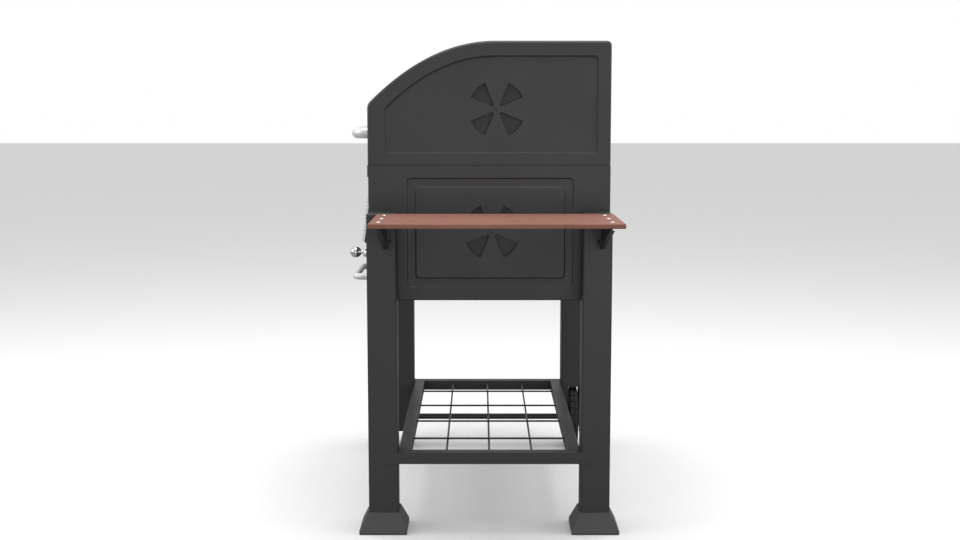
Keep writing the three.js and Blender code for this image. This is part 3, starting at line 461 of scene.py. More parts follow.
def black_enamel(name, base, roughness=0.3):
    """Glassy enamel with a soft orange peel and grey ash in places."""
    material, tree, shader = blank_material(name, IOR=1.52)
    where = placed(tree)
    grain = use(tree, "powder_grain", where, Pebble_Scale=260.0, Cloud_Scale=12.0)
    edge = use(tree, "rubbed_edges", where)["Mask"]
    ash = use(tree, "settled_dust", where, Patch_Scale=22.0)["Mask"]
    body = blended(tree, grain["Cloud"], shade(base, 0.85), shade(base, 1.2))
    body = blended(tree, math_node(tree, "MULTIPLY", edge, 0.3), body, shade(base, 3.0))
    body = blended(tree, math_node(tree, "MULTIPLY", ash, 0.25), body, (0.12, 0.118, 0.115))
    tree.links.new(body, shader.inputs["Base Color"])
    rough = ranged(tree, grain["Cloud"], 0.0, 1.0, roughness - 0.05, roughness + 0.08)
    tree.links.new(rough, shader.inputs["Roughness"])
    bump(tree, shader, grain["Height"], 0.00008)
    return material


def oiled_board(name, light, dark, shift):
    """Oiled hardwood with its grain along the board."""
    material, tree, shader = blank_material(name, IOR=1.45)
    where = placed(tree, shift)
    figure = use(tree, "wood_figure", where)
    edge = use(tree, "rubbed_edges", where)["Mask"]
    body = blended(tree, ranged(tree, figure["Ring"], 0.15, 0.95), light, dark)
    body = blended(tree, ranged(tree, figure["Fibre"], 0.38, 0.66, 0.0, 0.55), body, shade(dark, 0.92))
    body = blended(tree, math_node(tree, "MULTIPLY", figure["Pore"], 0.35), body, shade(dark, 0.5))
    body = blended(tree, math_node(tree, "MULTIPLY", edge, 0.3), body, shade(light, 1.15))
    tree.links.new(body, shader.inputs["Base Color"])
    tree.links.new(ranged(tree, figure["Fibre"], 0.3, 0.7, 0.5, 0.64), shader.inputs["Roughness"])
    height = math_node(tree, "SUBTRACT", figure["Fibre"], math_node(tree, "MULTIPLY", figure["Pore"], 0.6))
    bump(tree, shader, height, 0.00012)
    return material


def moulded(name, base, roughness, dust=0.25, peel=0.00005):
    """Moulded rubber or plastic, matt, with dust in its upper faces."""
    material, tree, shader = blank_material(name, IOR=1.48)
    where = placed(tree)
    grain = use(tree, "powder_grain", where, Pebble_Scale=1300.0, Fleck_Scale=1800.0, Cloud_Scale=24.0)
    edge = use(tree, "rubbed_edges", where)["Mask"]
    ash = use(tree, "settled_dust", where, Patch_Scale=40.0)["Mask"]
    body = blended(tree, grain["Cloud"], shade(base, 0.88), shade(base, 1.14))
    body = blended(tree, math_node(tree, "MULTIPLY", edge, 0.35), body, shade(base, 2.2))
    body = blended(tree, math_node(tree, "MULTIPLY", ash, dust), body, (0.13, 0.125, 0.118))
    tree.links.new(body, shader.inputs["Base Color"])
    rough = ranged(tree, grain["Cloud"], 0.0, 1.0, roughness - 0.05, roughness + 0.05)
    tree.links.new(rough, shader.inputs["Roughness"])
    bump(tree, shader, grain["Height"], peel)
    return material


def dial_card(name):
    """The printed face of the lid's thermometer: pale, a little yellowed by heat."""
    material, tree, shader = blank_material(name)
    grain = use(tree, "powder_grain", placed(tree), Cloud_Scale=45.0)
    body = blended(tree, grain["Cloud"], (0.70, 0.69, 0.655), (0.76, 0.755, 0.73))
    tree.links.new(body, shader.inputs["Base Color"])
    tree.links.new(ranged(tree, grain["Cloud"], 0.0, 1.0, 0.42, 0.52), shader.inputs["Roughness"])
    bump(tree, shader, grain["Height"], 0.00001)
    return material


def clear_glass(name):
    material, tree, shader = blank_material(name, IOR=1.45)
    shader.inputs["Transmission Weight"].default_value = 1.0
    grain = use(tree, "powder_grain", placed(tree), Cloud_Scale=80.0)
    tree.links.new(ranged(tree, grain["Cloud"], 0.0, 1.0, 0.01, 0.035), shader.inputs["Roughness"])
    return material


FINISHES = {}


def board_shift(index):
    return (0.37 * index, 0.61 * index, 0.0)


def finish(name):
    """A finished material by name, made the first time it is asked for."""
    if name not in FINISHES:
        FINISHES[name] = make_finish(name)
    return FINISHES[name]


def make_finish(name):
    paint = colours()
    label = f"{name}_finish"
    if name.startswith("board_"):
        index = int(name[-1])
        return oiled_board(label, paint.wood_light, paint.wood_dark, board_shift(index))
    makers = {
        "powder_coat": lambda: coated_steel(label, paint.powder, 0.47),
        # The feet's lighter coat is painted light for the top light on their slopes.
        "moulded_foot": lambda: coated_steel(label, paint.foot, 0.5, peel=0.0001, fleck=1.3),
        "silver_coat": lambda: silver_paint(label, paint.silver),
        "stainless": lambda: brushed_steel(label, (0.68, 0.68, 0.67), 0.3),
        "screw_steel": lambda: brushed_steel(label, (0.66, 0.66, 0.655), 0.34),
        "chrome": lambda: chrome_plate(label),
        "zinc": lambda: zinc_plate(label),
        "enamel": lambda: black_enamel(label, paint.enamel),
        # The dampers' coat is the powder coat darkened to three quarters: painted shade for the dark recess
        # seen through the vent petals.
        "damper_coat": lambda: coated_steel(label, shade(paint.powder, 0.75), 0.5, dust=0.05),
        "tyre_rubber": lambda: moulded(label, paint.tyre, 0.78),
        "hub_nylon": lambda: moulded(label, paint.hub, 0.5, dust=0.15),
        "dial_card": lambda: dial_card(label),
        "dial_ink": lambda: moulded(label, (0.015, 0.015, 0.016), 0.5, dust=0.0),
        "pointer_red": lambda: moulded(label, (0.42, 0.02, 0.015), 0.4, dust=0.0),
        "clear_glass": lambda: clear_glass(label),
    }
    return makers[name]()


# ---- Mesh helpers, in millimetres from the trolley's own origin ----
def face_between(bm, corners):
    """A face on these vertices, leaving out repeats; nothing if fewer than three are left."""
    kept = []
    for corner in corners:
        if corner not in kept:
            kept.append(corner)
    if len(kept) > 2:
        bm.faces.new(kept)


def bridge(bm, rings, closed=True):
    """Quads between each ring of vertices and the next."""
    count = len(rings[0])
    for one, two in zip(rings, rings[1:]):
        for i in range(count if closed else count - 1):
            j = (i + 1) % count
            face_between(bm, [one[i], one[j], two[j], two[i]])


def lathe(bm, profile, steps, matrix, closed=False):
    """Turns (radius, along) points about Z. Points on the axis close the end; closed joins last to first."""
    rings = []
    for radius, along in profile:
        if radius < 1e-6:
            rings.append([bm.verts.new(matrix @ Vector((0, 0, along)))] * steps)
        else:
            turn = [2 * math.pi * i / steps for i in range(steps)]
            rings.append([
                bm.verts.new(matrix @ Vector((radius * math.cos(a), radius * math.sin(a), along)))
                for a in turn
            ])
    if closed:
        rings.append(rings[0])
    bridge(bm, rings)


def tube(bm, path, radius, sides):
    """A round bar along a path, with flat ends."""
    rings = []
    tangent = (path[1] - path[0]).normalized()
    normal = tangent.orthogonal().normalized()
    for i, point in enumerate(path):
        ahead = (path[min(i + 1, len(path) - 1)] - path[max(i - 1, 0)]).normalized()
        normal = tangent.rotation_difference(ahead) @ normal
        tangent = ahead
        side = tangent.cross(normal)
        turn = [2 * math.pi * k / sides for k in range(sides)]
        rings.append([
            bm.verts.new(point + radius * (math.cos(a) * normal + math.sin(a) * side)) for a in turn
        ])
    bridge(bm, rings)
    bm.faces.new(rings[0])
    bm.faces.new(rings[-1])


def box(bm, low, high):
    """A plain box; returns its vertices."""
    size, centre = Vector(high) - Vector(low), (Vector(high) + Vector(low)) / 2
    matrix = Matrix.Translation(centre) @ Matrix.Diagonal((*size, 1.0))
    return bmesh.ops.create_cube(bm, size=1.0, matrix=matrix)["verts"]


def prism(bm, outline, direction, matrix=None):
    """A closed outline of 3-D points pushed along direction."""
    shift = Vector(direction)
    low = [bm.verts.new(Vector(p)) for p in outline]
    high = [bm.verts.new(Vector(p) + shift) for p in outline]
    bm.faces.new(low)
    bm.faces.new(high)
    bridge(bm, [low, high])
    if matrix is not None:
        bmesh.ops.transform(bm, matrix=matrix, verts=low + high)


def rounded_corner(before, corner, after, radius, steps):
    """Points of an arc of that radius in place of a corner of a flat outline."""
    one, two = (before - corner).normalized(), (after - corner).normalized()
    half = one.angle(two) / 2
    reach = radius / math.tan(half)
    start, end = corner + one * reach, corner + two * reach
    centre = corner + (one + two).normalized() * (radius / math.sin(half))
    points = []
    for i in range(steps + 1):
        ray = (start - centre).lerp(end - centre, i / steps)
        points.append(centre + ray.normalized() * radius)
    return points


def rounded_outline(corners, radii, steps=5):
    """A flat outline with each corner rounded to its own radius; a radius of 0 keeps the corner."""
    points = []
    for i, corner in enumerate(corners):
        if radii[i]:
            points += rounded_corner(corners[i - 1], corner, corners[(i + 1) % len(corners)], radii[i], steps)
        else:
            points.append(corner)
    return points


def quadratic(start, control, end, steps):
    """Points of a quadratic curve, without its first point."""
    points = []
    for i in range(1, steps + 1):
        t = i / steps
        points.append(start * (1 - t) ** 2 + control * (2 * t * (1 - t)) + end * t ** 2)
    return points


def straight(start, end, steps):
    """Points of a line, without its first point."""
    return [start.lerp(end, i / steps) for i in range(1, steps + 1)]


def break_edges(bm, offset, segments, wanted):
    """Rounds the edges for which wanted(edge) is true."""
    bm.normal_update()
    edges = [e for e in bm.edges if len(e.link_faces) == 2 and wanted(e)]
    if edges and offset > 0:
        bmesh.ops.bevel(
            bm, geom=edges, offset=offset, offset_type="OFFSET", segments=segments, profile=0.5,
            affect="EDGES", clamp_overlap=True,
        )


def sharp(edge, angle=30.0):
    return edge.calc_face_angle(0) > radians(angle)


def outward(bm):
    bmesh.ops.recalc_face_normals(bm, faces=bm.faces)


def mesh_from(name, bm):
    mesh = bpy.data.meshes.new(name)
    bm.to_mesh(mesh)
    bm.free()
    return mesh


def piece(name, bm, material, body, replaces=(), smooth=32.0, weighted=True, wall=0.0):
    """A finished piece in the frame: placed, shaded, riding on its body and standing for its CAD nodes."""
    piece_of(name, mesh_from(name, bm), material, body, replaces, smooth, weighted, wall)


def piece_of(name, mesh, material, body, replaces=(), smooth=32.0, weighted=True, wall=0.0):
    """As piece, for a mesh. A wall gives a skin that thickness, in millimetres."""
    mesh.transform(TO_FRAME)
    mesh.name = name
    if material:
        mesh.materials.clear()
        mesh.materials.append(finish(material))
        for polygon in mesh.polygons:
            polygon.material_index = 0
    mesh.shade_smooth()
    obj = bpy.data.objects.new(name, mesh)
    bpy.context.scene.collection.objects.link(obj)
    if wall:
        thicken(obj, wall * MM)
        obj.data.shade_smooth()
    obj.data.set_sharp_from_angle(angle=radians(smooth))
    if weighted:
        modifier = obj.modifiers.new("even_shading", "WEIGHTED_NORMAL")
        modifier.keep_sharp = True
        settle(obj)
    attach(obj, body)
    if replaces:
        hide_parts(*replaces)


def settle(obj):
    """Turns an object and its modifiers into a plain mesh."""
    graph = bpy.context.evaluated_depsgraph_get()
    mesh = bpy.data.meshes.new_from_object(
        obj.evaluated_get(graph), preserve_all_data_layers=True, depsgraph=graph,
    )
    obj.modifiers.clear()
    old, obj.data = obj.data, mesh
    mesh.name = obj.name
    bpy.data.meshes.remove(old)


def cad_copy(node):
    """A CAD node's mesh in millimetres, its loose triangles merged into whole faces."""
    bm = bmesh.new()
    bm.from_mesh(frame["nodes"][node].data)
    bmesh.ops.transform(bm, matrix=FROM_FRAME, verts=bm.verts)
    bmesh.ops.remove_doubles(bm, verts=bm.verts, dist=0.001)
    bmesh.ops.dissolve_limit(bm, angle_limit=radians(1), verts=bm.verts, edges=bm.edges)
    return bm


def body_of(node):
    return frame["nodes"][node]["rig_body"]


def softened(node, word, material, edge, corner=0.0, corners=None, segments=3):
    """A CAD node's shape with its big corners rounded to corner and its other edges to edge."""
    bm = cad_copy(node)
    if corner:
        break_edges(bm, corner, 5, corners)
    break_edges(bm, edge, segments, sharp)
    piece(f"{node}_{word}", bm, material, body_of(node), (node,))


def box_corner(node, skip=()):
    """True for an edge that runs along a corner of the node's box; skip leaves out planes such as 'z0'."""
    low, high = span(node)
    planes = {
        f"{axis}{end}": (i, bound[i])
        for i, axis in enumerate("xyz") for end, bound in ((0, low), (1, high))
    }

    def wanted(edge):
        on = [
            name for name, (i, value) in planes.items()
            if all(abs(v.co[i] - value) < 0.01 for v in edge.verts)
        ]
        return len(on) >= 2 and not any(name in skip for name in on)
    return wanted


# ---- Geometry Nodes for what repeats ----
def new_repeat(name, inputs):
    """An empty Geometry Nodes tree with a Geometry input and output and these named inputs."""
    tree = bpy.data.node_groups.new(name, "GeometryNodeTree")
    tree.interface.new_socket("Geometry", in_out="INPUT", socket_type="NodeSocketGeometry")
    for label, kind in inputs.items():
        tree.interface.new_socket(label, in_out="INPUT", socket_type=kind)
    tree.interface.new_socket("Material", in_out="INPUT", socket_type="NodeSocketMaterial")
    tree.interface.new_socket("Geometry", in_out="OUTPUT", socket_type="NodeSocketGeometry")
    tree.is_modifier = True
    return tree, tree.nodes.new("NodeGroupInput").outputs, tree.nodes.new("NodeGroupOutput").inputs


def end_repeat(tree, given, out, instances):
    real = add_node(tree, "GeometryNodeRealizeInstances", {"Geometry": instances})
    painted = add_node(tree, "GeometryNodeSetMaterial", {
        "Geometry": real.outputs["Geometry"], "Material": given["Material"],
    })
    tree.links.new(painted.outputs["Geometry"], out["Geometry"])
    return tree


def build_row(name):
    """The incoming shape, repeated in a row."""
    tree, given, out = new_repeat(name, {
        "Count": "NodeSocketInt", "Start": "NodeSocketVector", "Step": "NodeSocketVector",
    })
    line = add_node(tree, "GeometryNodeMeshLine", {
        "Count": given["Count"], "Start Location": given["Start"], "Offset": given["Step"],
    }, mode="OFFSET")
    placed_shapes = add_node(tree, "GeometryNodeInstanceOnPoints", {
        "Points": line.outputs["Mesh"], "Instance": given["Geometry"],
    })
    return end_repeat(tree, given, out, placed_shapes.outputs["Instances"])


def build_ring(name):
    """The incoming shape, repeated round the Y axis."""
    tree, given, out = new_repeat(name, {
        "Count": "NodeSocketInt", "Sweep": "NodeSocketFloat", "First": "NodeSocketFloat",
    })
    line = add_node(tree, "GeometryNodeMeshLine", {
        "Count": given["Count"], "Offset": (0, 0, 0),
    }, mode="OFFSET")
    index = tree.nodes.new("GeometryNodeInputIndex")
    step = math_node(tree, "DIVIDE", given["Sweep"], given["Count"])
    turn = math_node(tree, "ADD", math_node(tree, "MULTIPLY", index.outputs["Index"], step), given["First"])
    euler = add_node(tree, "ShaderNodeCombineXYZ", {"Y": turn})
    rotation = add_node(tree, "FunctionNodeEulerToRotation", {"Euler": euler.outputs["Vector"]})
    placed_shapes = add_node(tree, "GeometryNodeInstanceOnPoints", {
        "Points": line.outputs["Mesh"], "Instance": given["Geometry"],
        "Rotation": rotation.outputs["Rotation"],
    })
    return end_repeat(tree, given, out, placed_shapes.outputs["Instances"])


def build_rods(name):
    """A row of round rods, each running along Run."""
    tree, given, out = new_repeat(name, {
        "Count": "NodeSocketInt", "Start": "NodeSocketVector", "Step": "NodeSocketVector",
        "Run": "NodeSocketVector", "Radius": "NodeSocketFloat", "Sides": "NodeSocketInt",
    })
    spine = add_node(tree, "GeometryNodeCurvePrimitiveLine", {"End": given["Run"]})
    section = add_node(tree, "GeometryNodeCurvePrimitiveCircle", {
        "Resolution": given["Sides"], "Radius": given["Radius"],
    })
    rod = add_node(tree, "GeometryNodeCurveToMesh", {
        "Curve": spine.outputs["Curve"], "Profile Curve": section.outputs["Curve"], "Fill Caps": True,
    })
    line = add_node(tree, "GeometryNodeMeshLine", {
        "Count": given["Count"], "Start Location": given["Start"], "Offset": given["Step"],
    }, mode="OFFSET")
    rods = add_node(tree, "GeometryNodeInstanceOnPoints", {
        "Points": line.outputs["Mesh"], "Instance": rod.outputs["Mesh"],
    })
    return end_repeat(tree, given, out, rods.outputs["Instances"])


def build_fixings(name):
    """A domed head on each incoming point, facing its 'facing', with a cross recess if that has width."""
    tree, given, out = new_repeat(name, {
        "Head Radius": "NodeSocketFloat", "Head Height": "NodeSocketFloat", "Recess Width": "NodeSocketFloat",
    })
    dome = add_node(tree, "GeometryNodeMeshUVSphere", {
        "Segments": 20, "Rings": 12, "Radius": given["Head Radius"],
    })
    flat = add_node(tree, "ShaderNodeCombineXYZ", {
        "X": 1.0, "Y": 1.0, "Z": math_node(tree, "DIVIDE", given["Head Height"], given["Head Radius"]),
    })
    pressed = add_node(tree, "GeometryNodeTransform", {
        "Geometry": dome.outputs["Mesh"], "Scale": flat.outputs["Vector"],
    })
    span_size = math_node(tree, "MULTIPLY", given["Head Radius"], 1.15)
    bars = []
    for along, across in (("X", "Y"), ("Y", "X")):
        size = add_node(tree, "ShaderNodeCombineXYZ", {
            along: span_size, across: given["Recess Width"], "Z": given["Head Height"],
        })
        bar = add_node(tree, "GeometryNodeMeshCube", {"Size": size.outputs["Vector"]})
        lift = add_node(tree, "ShaderNodeCombineXYZ", {"Z": given["Head Height"]})
        bars.append(add_node(tree, "GeometryNodeTransform", {
            "Geometry": bar.outputs["Mesh"], "Translation": lift.outputs["Vector"],
        }))
    cut_head = add_node(tree, "GeometryNodeMeshBoolean", {
        "Mesh 1": pressed.outputs["Geometry"],
    }, operation="DIFFERENCE")
    for bar in bars:
        tree.links.new(bar.outputs["Geometry"], cut_head.inputs["Mesh 2"])
    has_recess = add_node(tree, "FunctionNodeCompare", {
        0: given["Recess Width"], 1: 0.0,
    }, operation="GREATER_THAN")
    head = add_node(tree, "GeometryNodeSwitch", {
        "Switch": has_recess.outputs["Result"], "False": pressed.outputs["Geometry"],
        "True": cut_head.outputs["Mesh"],
    }, input_type="GEOMETRY")
    facing = add_node(tree, "GeometryNodeInputNamedAttribute", {"Name": "facing"}, data_type="FLOAT_VECTOR")
    aligned = add_node(tree, "FunctionNodeAlignRotationToVector", {
        "Vector": facing.outputs["Attribute"],
    }, axis="Z")
    heads = add_node(tree, "GeometryNodeInstanceOnPoints", {
        "Points": given["Geometry"], "Instance": head.outputs["Output"],
        "Rotation": aligned.outputs["Rotation"],
    })
    return end_repeat(tree, given, out, heads.outputs["Instances"])


REPEATS = {"row_of": build_row, "ring_of": build_ring, "row_of_rods": build_rods, "fixings": build_fixings}


def repeated(kind, seed, **values):
    """The plain mesh that a repeat tree makes from a seed mesh, in millimetres."""
    tree = bpy.data.node_groups.get(kind) or REPEATS[kind](kind)
    carrier = bpy.data.objects.new("seed", seed)
    modifier = carrier.modifiers.new("repeat", "NODES")
    modifier.node_group = tree
    for item in tree.interface.items_tree:
        label = item.name.replace(" ", "_")
        if item.in_out == "INPUT" and label in values:
            modifier[item.identifier] = values[label]
    bpy.context.scene.collection.objects.link(carrier)
    graph = bpy.context.evaluated_depsgraph_get()
    mesh = bpy.data.meshes.new_from_object(
        carrier.evaluated_get(graph), preserve_all_data_layers=True, depsgraph=graph,
    )
    bpy.data.objects.remove(carrier)
    return mesh


def seed_mesh(bm):
    return mesh_from("seed", bm)


def fixings(name, places, body, radius, height, recess, material="screw_steel"):
    """Screw or rivet heads at (point, facing) places, as one piece on one body."""
    bm = bmesh.new()
    layer = bm.verts.layers.float_vector.new("facing")
    for point, facing in places:
        bm.verts.new(point)[layer] = Vector(facing)
    mesh = repeated("fixings", seed_mesh(bm), Head_Radius=radius, Head_Height=height, Recess_Width=recess,
                    Material=finish(material))
    piece_of(name, mesh, None, body, smooth=40.0, weighted=False)


# ---- Legs, feet and rack ----
def build_legs():
    corner = mm(sizes().tube_corner)
    for end in ("front", "back"):
        for side in ("shelf", "wheel"):
            node = f"leg_{side}_side_{end}"
            softened(node, "tube", "powder_coat", 0.4, corner, box_corner(node, ("z0",)), 2)
        foot = f"foot_{end}"
        softened(foot, "moulding", "moulded_foot", 1.1, segments=3)
    for node in ("rack_bar_shelf_side", "rack_bar_wheel_side"):
        softened(node, "tube", "powder_coat", 0.5, segments=2)
    for node in ("rack_rail_front", "rack_rail_back"):
        softened(node, "tube", "powder_coat", 0.4, 2.0, box_corner(node, ("x0", "x1")), 2)


def build_rack_grille():
    low, high = span("rack_grille")
    wire = mm(sizes().wire)
    centre_y = (low.y + high.y) / 2
    bm = bmesh.new()
    crossing = repeated(
        "row_of_rods", bpy.data.meshes.new("seed"), Count=4, Start=(-253.5, low.y, high.z - wire),
        Step=(169.0, 0, 0), Run=(0, high.y - low.y, 0), Radius=wire, Sides=14, Material=finish("powder_coat"),
    )
    running = repeated(
        "row_of_rods", bpy.data.meshes.new("seed"), Count=3, Start=(low.x, centre_y - 94.5, low.z + wire),
        Step=(0, 94.5, 0), Run=(high.x - low.x, 0, 0), Radius=wire, Sides=14, Material=finish("powder_coat"),
    )
    bm.from_mesh(crossing)
    bm.from_mesh(running)
    piece("rack_grille_wires", bm, "powder_coat", "stand", ("rack_grille",), weighted=False)


# ---- Wheels ----
def build_wheels():
    for end in ("front", "back"):
        build_tyre(f"tyre_{end}", f"wheel_{end}")
        build_hub(f"hub_{end}", f"wheel_{end}")
    build_axle()


def build_tyre(node, body):
    low, high = span(node)
    outer, half, rim = (high.z - low.z) / 2, (high.y - low.y) / 2, 57.0
    carcass, shoulder = outer - 2.8, 5.0
    profile = [(rim, -half + 3.0), (rim + 1.2, -half + 1.0), (rim + 3.5, -half)]
    for i in range(7):
        a = radians(90.0 * i / 6)
        across = shoulder * (1 - math.sin(a))
        profile.append((carcass - across, -half + shoulder * (1 - math.cos(a))))
    profile += [(r, -y) for r, y in reversed(profile)]
    bm = bmesh.new()
    lathe(bm, profile, 96, Matrix.Rotation(radians(-90), 4, "X"), closed=True)
    outward(bm)
    block = bmesh.new()
    count = sizes().tread_blocks
    pitch = 2 * math.pi * outer / count
    wide = pitch / 2 - 1.5
    for side in (-1, 1):
        near, far = 1.1 * side, (half - 0.9) * side
        skew = 1.6 * side
        base, top = carcass - 2.0, math.sqrt(outer ** 2 - (wide + 2.0) ** 2)
        corners = [(-wide, near), (wide, near), (wide + skew, far), (-wide + skew, far)]
        prism(block, [(x, y, base) for x, y in corners], (0, 0, top - base))
    break_edges(block, 0.6, 2, sharp)
    outward(block)
    blocks = repeated(
        "ring_of", seed_mesh(block), Count=count, Sweep=2 * math.pi, First=0.0,
        Material=finish("tyre_rubber"),
    )
    bm.from_mesh(blocks)
    bmesh.ops.transform(bm, matrix=Matrix.Translation((low + high) / 2), verts=bm.verts)
    piece(f"{node}_rubber", bm, "tyre_rubber", body, (node,))


def build_hub(node, body):
    low, high = span(node)
    rim, half_boss = (high.z - low.z) / 2, (high.y - low.y) / 2
    half_rim, half_web, boss, bore = 7.6, 2.2, 16.0, 8.4
    inside = rim - 6.5
    one_side = [
        (bore, half_boss), (boss - 1.0, half_boss), (boss, half_boss - 1.0), (boss + 1.2, half_web + 2.5),
        (boss + 3.5, half_web), (inside - 3.0, half_web), (inside - 0.6, half_web + 1.6),
        (inside, half_rim - 1.0), (inside + 1.0, half_rim), (rim - 1.0, half_rim), (rim, half_rim - 1.0),
    ]
    profile = one_side + [(r, -y) for r, y in reversed(one_side)]
    bm = bmesh.new()
    lathe(bm, profile, 72, Matrix.Rotation(radians(-90), 4, "X"), closed=True)
    outward(bm)
    rib = bmesh.new()
    for side in (-1, 1):
        corners = [
            (boss - 0.5, half_web - 0.5), (boss - 0.5, 15.0), (boss + 8.0, 8.2),
            (inside + 0.6, 7.0), (inside + 0.6, half_web - 0.5),
        ]
        prism(rib, [(r, side * y, -1.6) for r, y in corners], (0, 0, 3.2))
    break_edges(rib, 0.5, 2, sharp)
    outward(rib)
    ribs = repeated(
        "ring_of", seed_mesh(rib), Count=sizes().hub_ribs, Sweep=2 * math.pi, First=0.0,
        Material=finish("hub_nylon"),
    )
    bm.from_mesh(ribs)
    bmesh.ops.transform(bm, matrix=Matrix.Translation((low + high) / 2), verts=bm.verts)
    piece(f"{node}_nylon", bm, "hub_nylon", body, (node,))


def build_axle():
    low, high = span("axle")
    radius, centre = (high.z - low.z) / 2, (low + high) / 2
    start = Matrix.Translation((centre.x, low.y, centre.z)) @ Matrix.Rotation(radians(-90), 4, "X")
    total = high.y - low.y
    profile = [
        (0, 0), (radius - 1.0, 0), (radius, 1.0), (radius, total - 1.0), (radius - 1.0, total), (0, total),
    ]
    bm = bmesh.new()
    lathe(bm, profile, 36, start)
    outward(bm)
    piece("axle_rod", bm, "powder_coat", "stand", ("axle",))
    caps = bmesh.new()
    seats = ((-1, span("hub_front")[0].y), (1, span("leg_wheel_side_back")[1].y))
    for side, seat in seats:
        flange = [
            (0, 0.3), (12.4, 0.3), (12.9, 0.7), (12.9, 1.3), (12.2, 1.8), (9.6, 2.0),
            (9.1, 3.7), (8.0, 4.8), (5.4, 5.5), (0, 5.8),
        ]
        place = Matrix.Translation((centre.x, seat, centre.z))
        lathe(caps, flange, 40, place @ Matrix.Rotation(radians(-90 * side), 4, "X"))
    outward(caps)
    piece("axle_caps", caps, "chrome", "stand")


# ---- Petal vents ----
PETAL = {"radius": 62.0, "half_angle": radians(20.5), "tip": 5.6}
PETAL_LIP, PETAL_LIP_DEPTH = 1.1, 0.9  # how far a petal's edge is turned in, across and down


def petal(centre, angle, steps=12):
    """One petal's outline in (Y, Z): a rounded inner end, straight sides and a bowed outer end."""
    radius, half = PETAL["radius"], PETAL["half_angle"]
    arc = [
        Vector((radius * math.cos(a), radius * math.sin(a)))
        for a in (-half + 2 * half * i / steps for i in range(steps + 1))
    ]
    corners = [Vector((PETAL["tip"], 0))] + arc
    radii = [mm(sizes().petal_tip), 1.0] + [0] * (steps - 1) + [1.0]
    outline = rounded_outline(corners, radii, 6)
    turned = Matrix.Rotation(angle, 2)
    return [Vector(centre) + turned @ p for p in outline]


def grown_outline(points, amount):
    """A flat outline moved outwards by amount."""
    moved = []
    for i, point in enumerate(points):
        before, after = points[i - 1], points[(i + 1) % len(points)]
        one, two = (point - before).normalized(), (after - point).normalized()
        normal = Vector((one.y + two.y, -one.x - two.x)).normalized()
        moved.append(point + normal * amount)
    return moved


def vent_centre(room, hand):
    """The middle of a petal vent in (Y, Z), where its damper turns."""
    centre = middle_of(f"{room}_damper_{hand}")
    return (centre.y, centre.z)


def petals(room, hand):
    centre = vent_centre(room, hand)
    return [petal(centre, radians(45 + 90 * i)) for i in range(4)]


def fill_field(bm, ring, x_of, holes):
    """Fills a ring of vertices as one flat field with soft-lipped holes cut through it."""
    loops = [ring]
    for hole in holes:
        rims = []
        for grow, down in ((1.0, 0.0), (0.45, 0.22), (0.12, 0.6), (0.0, 1.0)):
            outline = grown_outline(hole, PETAL_LIP * grow)
            rims.append([bm.verts.new(Vector((x_of(PETAL_LIP_DEPTH * down), p.x, p.y))) for p in outline])
        bridge(bm, rims)
        loops.append(rims[0])
    corners = [vert for loop in loops for vert in loop]
    for triangle in tessellate_polygon([[Vector((v.co.y, v.co.z, 0)) for v in loop] for loop in loops]):
        face_between(bm, [corners[i] for i in triangle])


def thicken(obj, thickness):
    """Gives a pressed skin its wall, inwards from its outer face."""
    modifier = obj.modifiers.new("wall", "SOLIDIFY")
    modifier.thickness = thickness
    modifier.offset = -1.0
    modifier.use_even_offset = False
    modifier.use_quality_normals = True
    settle(obj)


def pressed_piece(name, bm, body, node, outward_hint):
    """A skin of powder-coated sheet, turned to face outward_hint, with a wall behind it."""
    bmesh.ops.remove_doubles(bm, verts=bm.verts, dist=0.0005)
    outward(bm)
    bm.normal_update()
    total = sum((f.normal.dot(outward_hint(f.calc_center_median())) * f.calc_area() for f in bm.faces), 0.0)
    if total < 0:
        bmesh.ops.reverse_faces(bm, faces=bm.faces)
    piece(name, bm, "powder_coat", body, (node,), smooth=40.0, wall=mm(sizes().sheet))


def sideways(side):
    return lambda point: Vector((side, 0, 0))


# ---- Firebox ----
FIREBOX_PRESS = {
    "front": -180.0, "back": 184.0, "bottom": 539.0, "top": 777.0,
    "groove": 18.5, "depth": 3.0, "corner": 9.0,
}
FIREBOX_ROLL = 2.2


def ring_of_rectangle(low_y, high_y, low_z, high_z, corner, corner_steps=6, side_steps=6):
    """A rounded rectangle in (Y, Z) with the same number of points whatever its size."""
    corners = [
        Vector((low_y, low_z)), Vector((high_y, low_z)), Vector((high_y, high_z)), Vector((low_y, high_z)),
    ]
    points = []
    for i, here in enumerate(corners):
        arc = rounded_corner(corners[i - 1], here, corners[(i + 1) % 4], corner, corner_steps)
        after = rounded_corner(here, corners[(i + 1) % 4], corners[(i + 2) % 4], corner, corner_steps)[0]
        points += arc + straight(arc[-1], after, side_steps)[:-1]
    return points


def shoulder(steps, width, depth):
    """(across, down) points of a soft step, without its first point."""
    points = []
    for i in range(1, steps + 1):
        t = i / steps
        points.append((width * t, depth * t * t * (3 - 2 * t)))
    return points


def swept_shoulder(width, depth):
    """(across, down) points of a step that is steep at its top and sweeps out wide at its foot."""
    return [
        (width * across, depth * down)
        for across, down in (
            (0.1, 0.05), (0.24, 0.24), (0.4, 0.56), (0.62, 0.78), (1.0, 0.9), (1.6, 0.97), (2.3, 1.0),
        )
    ]


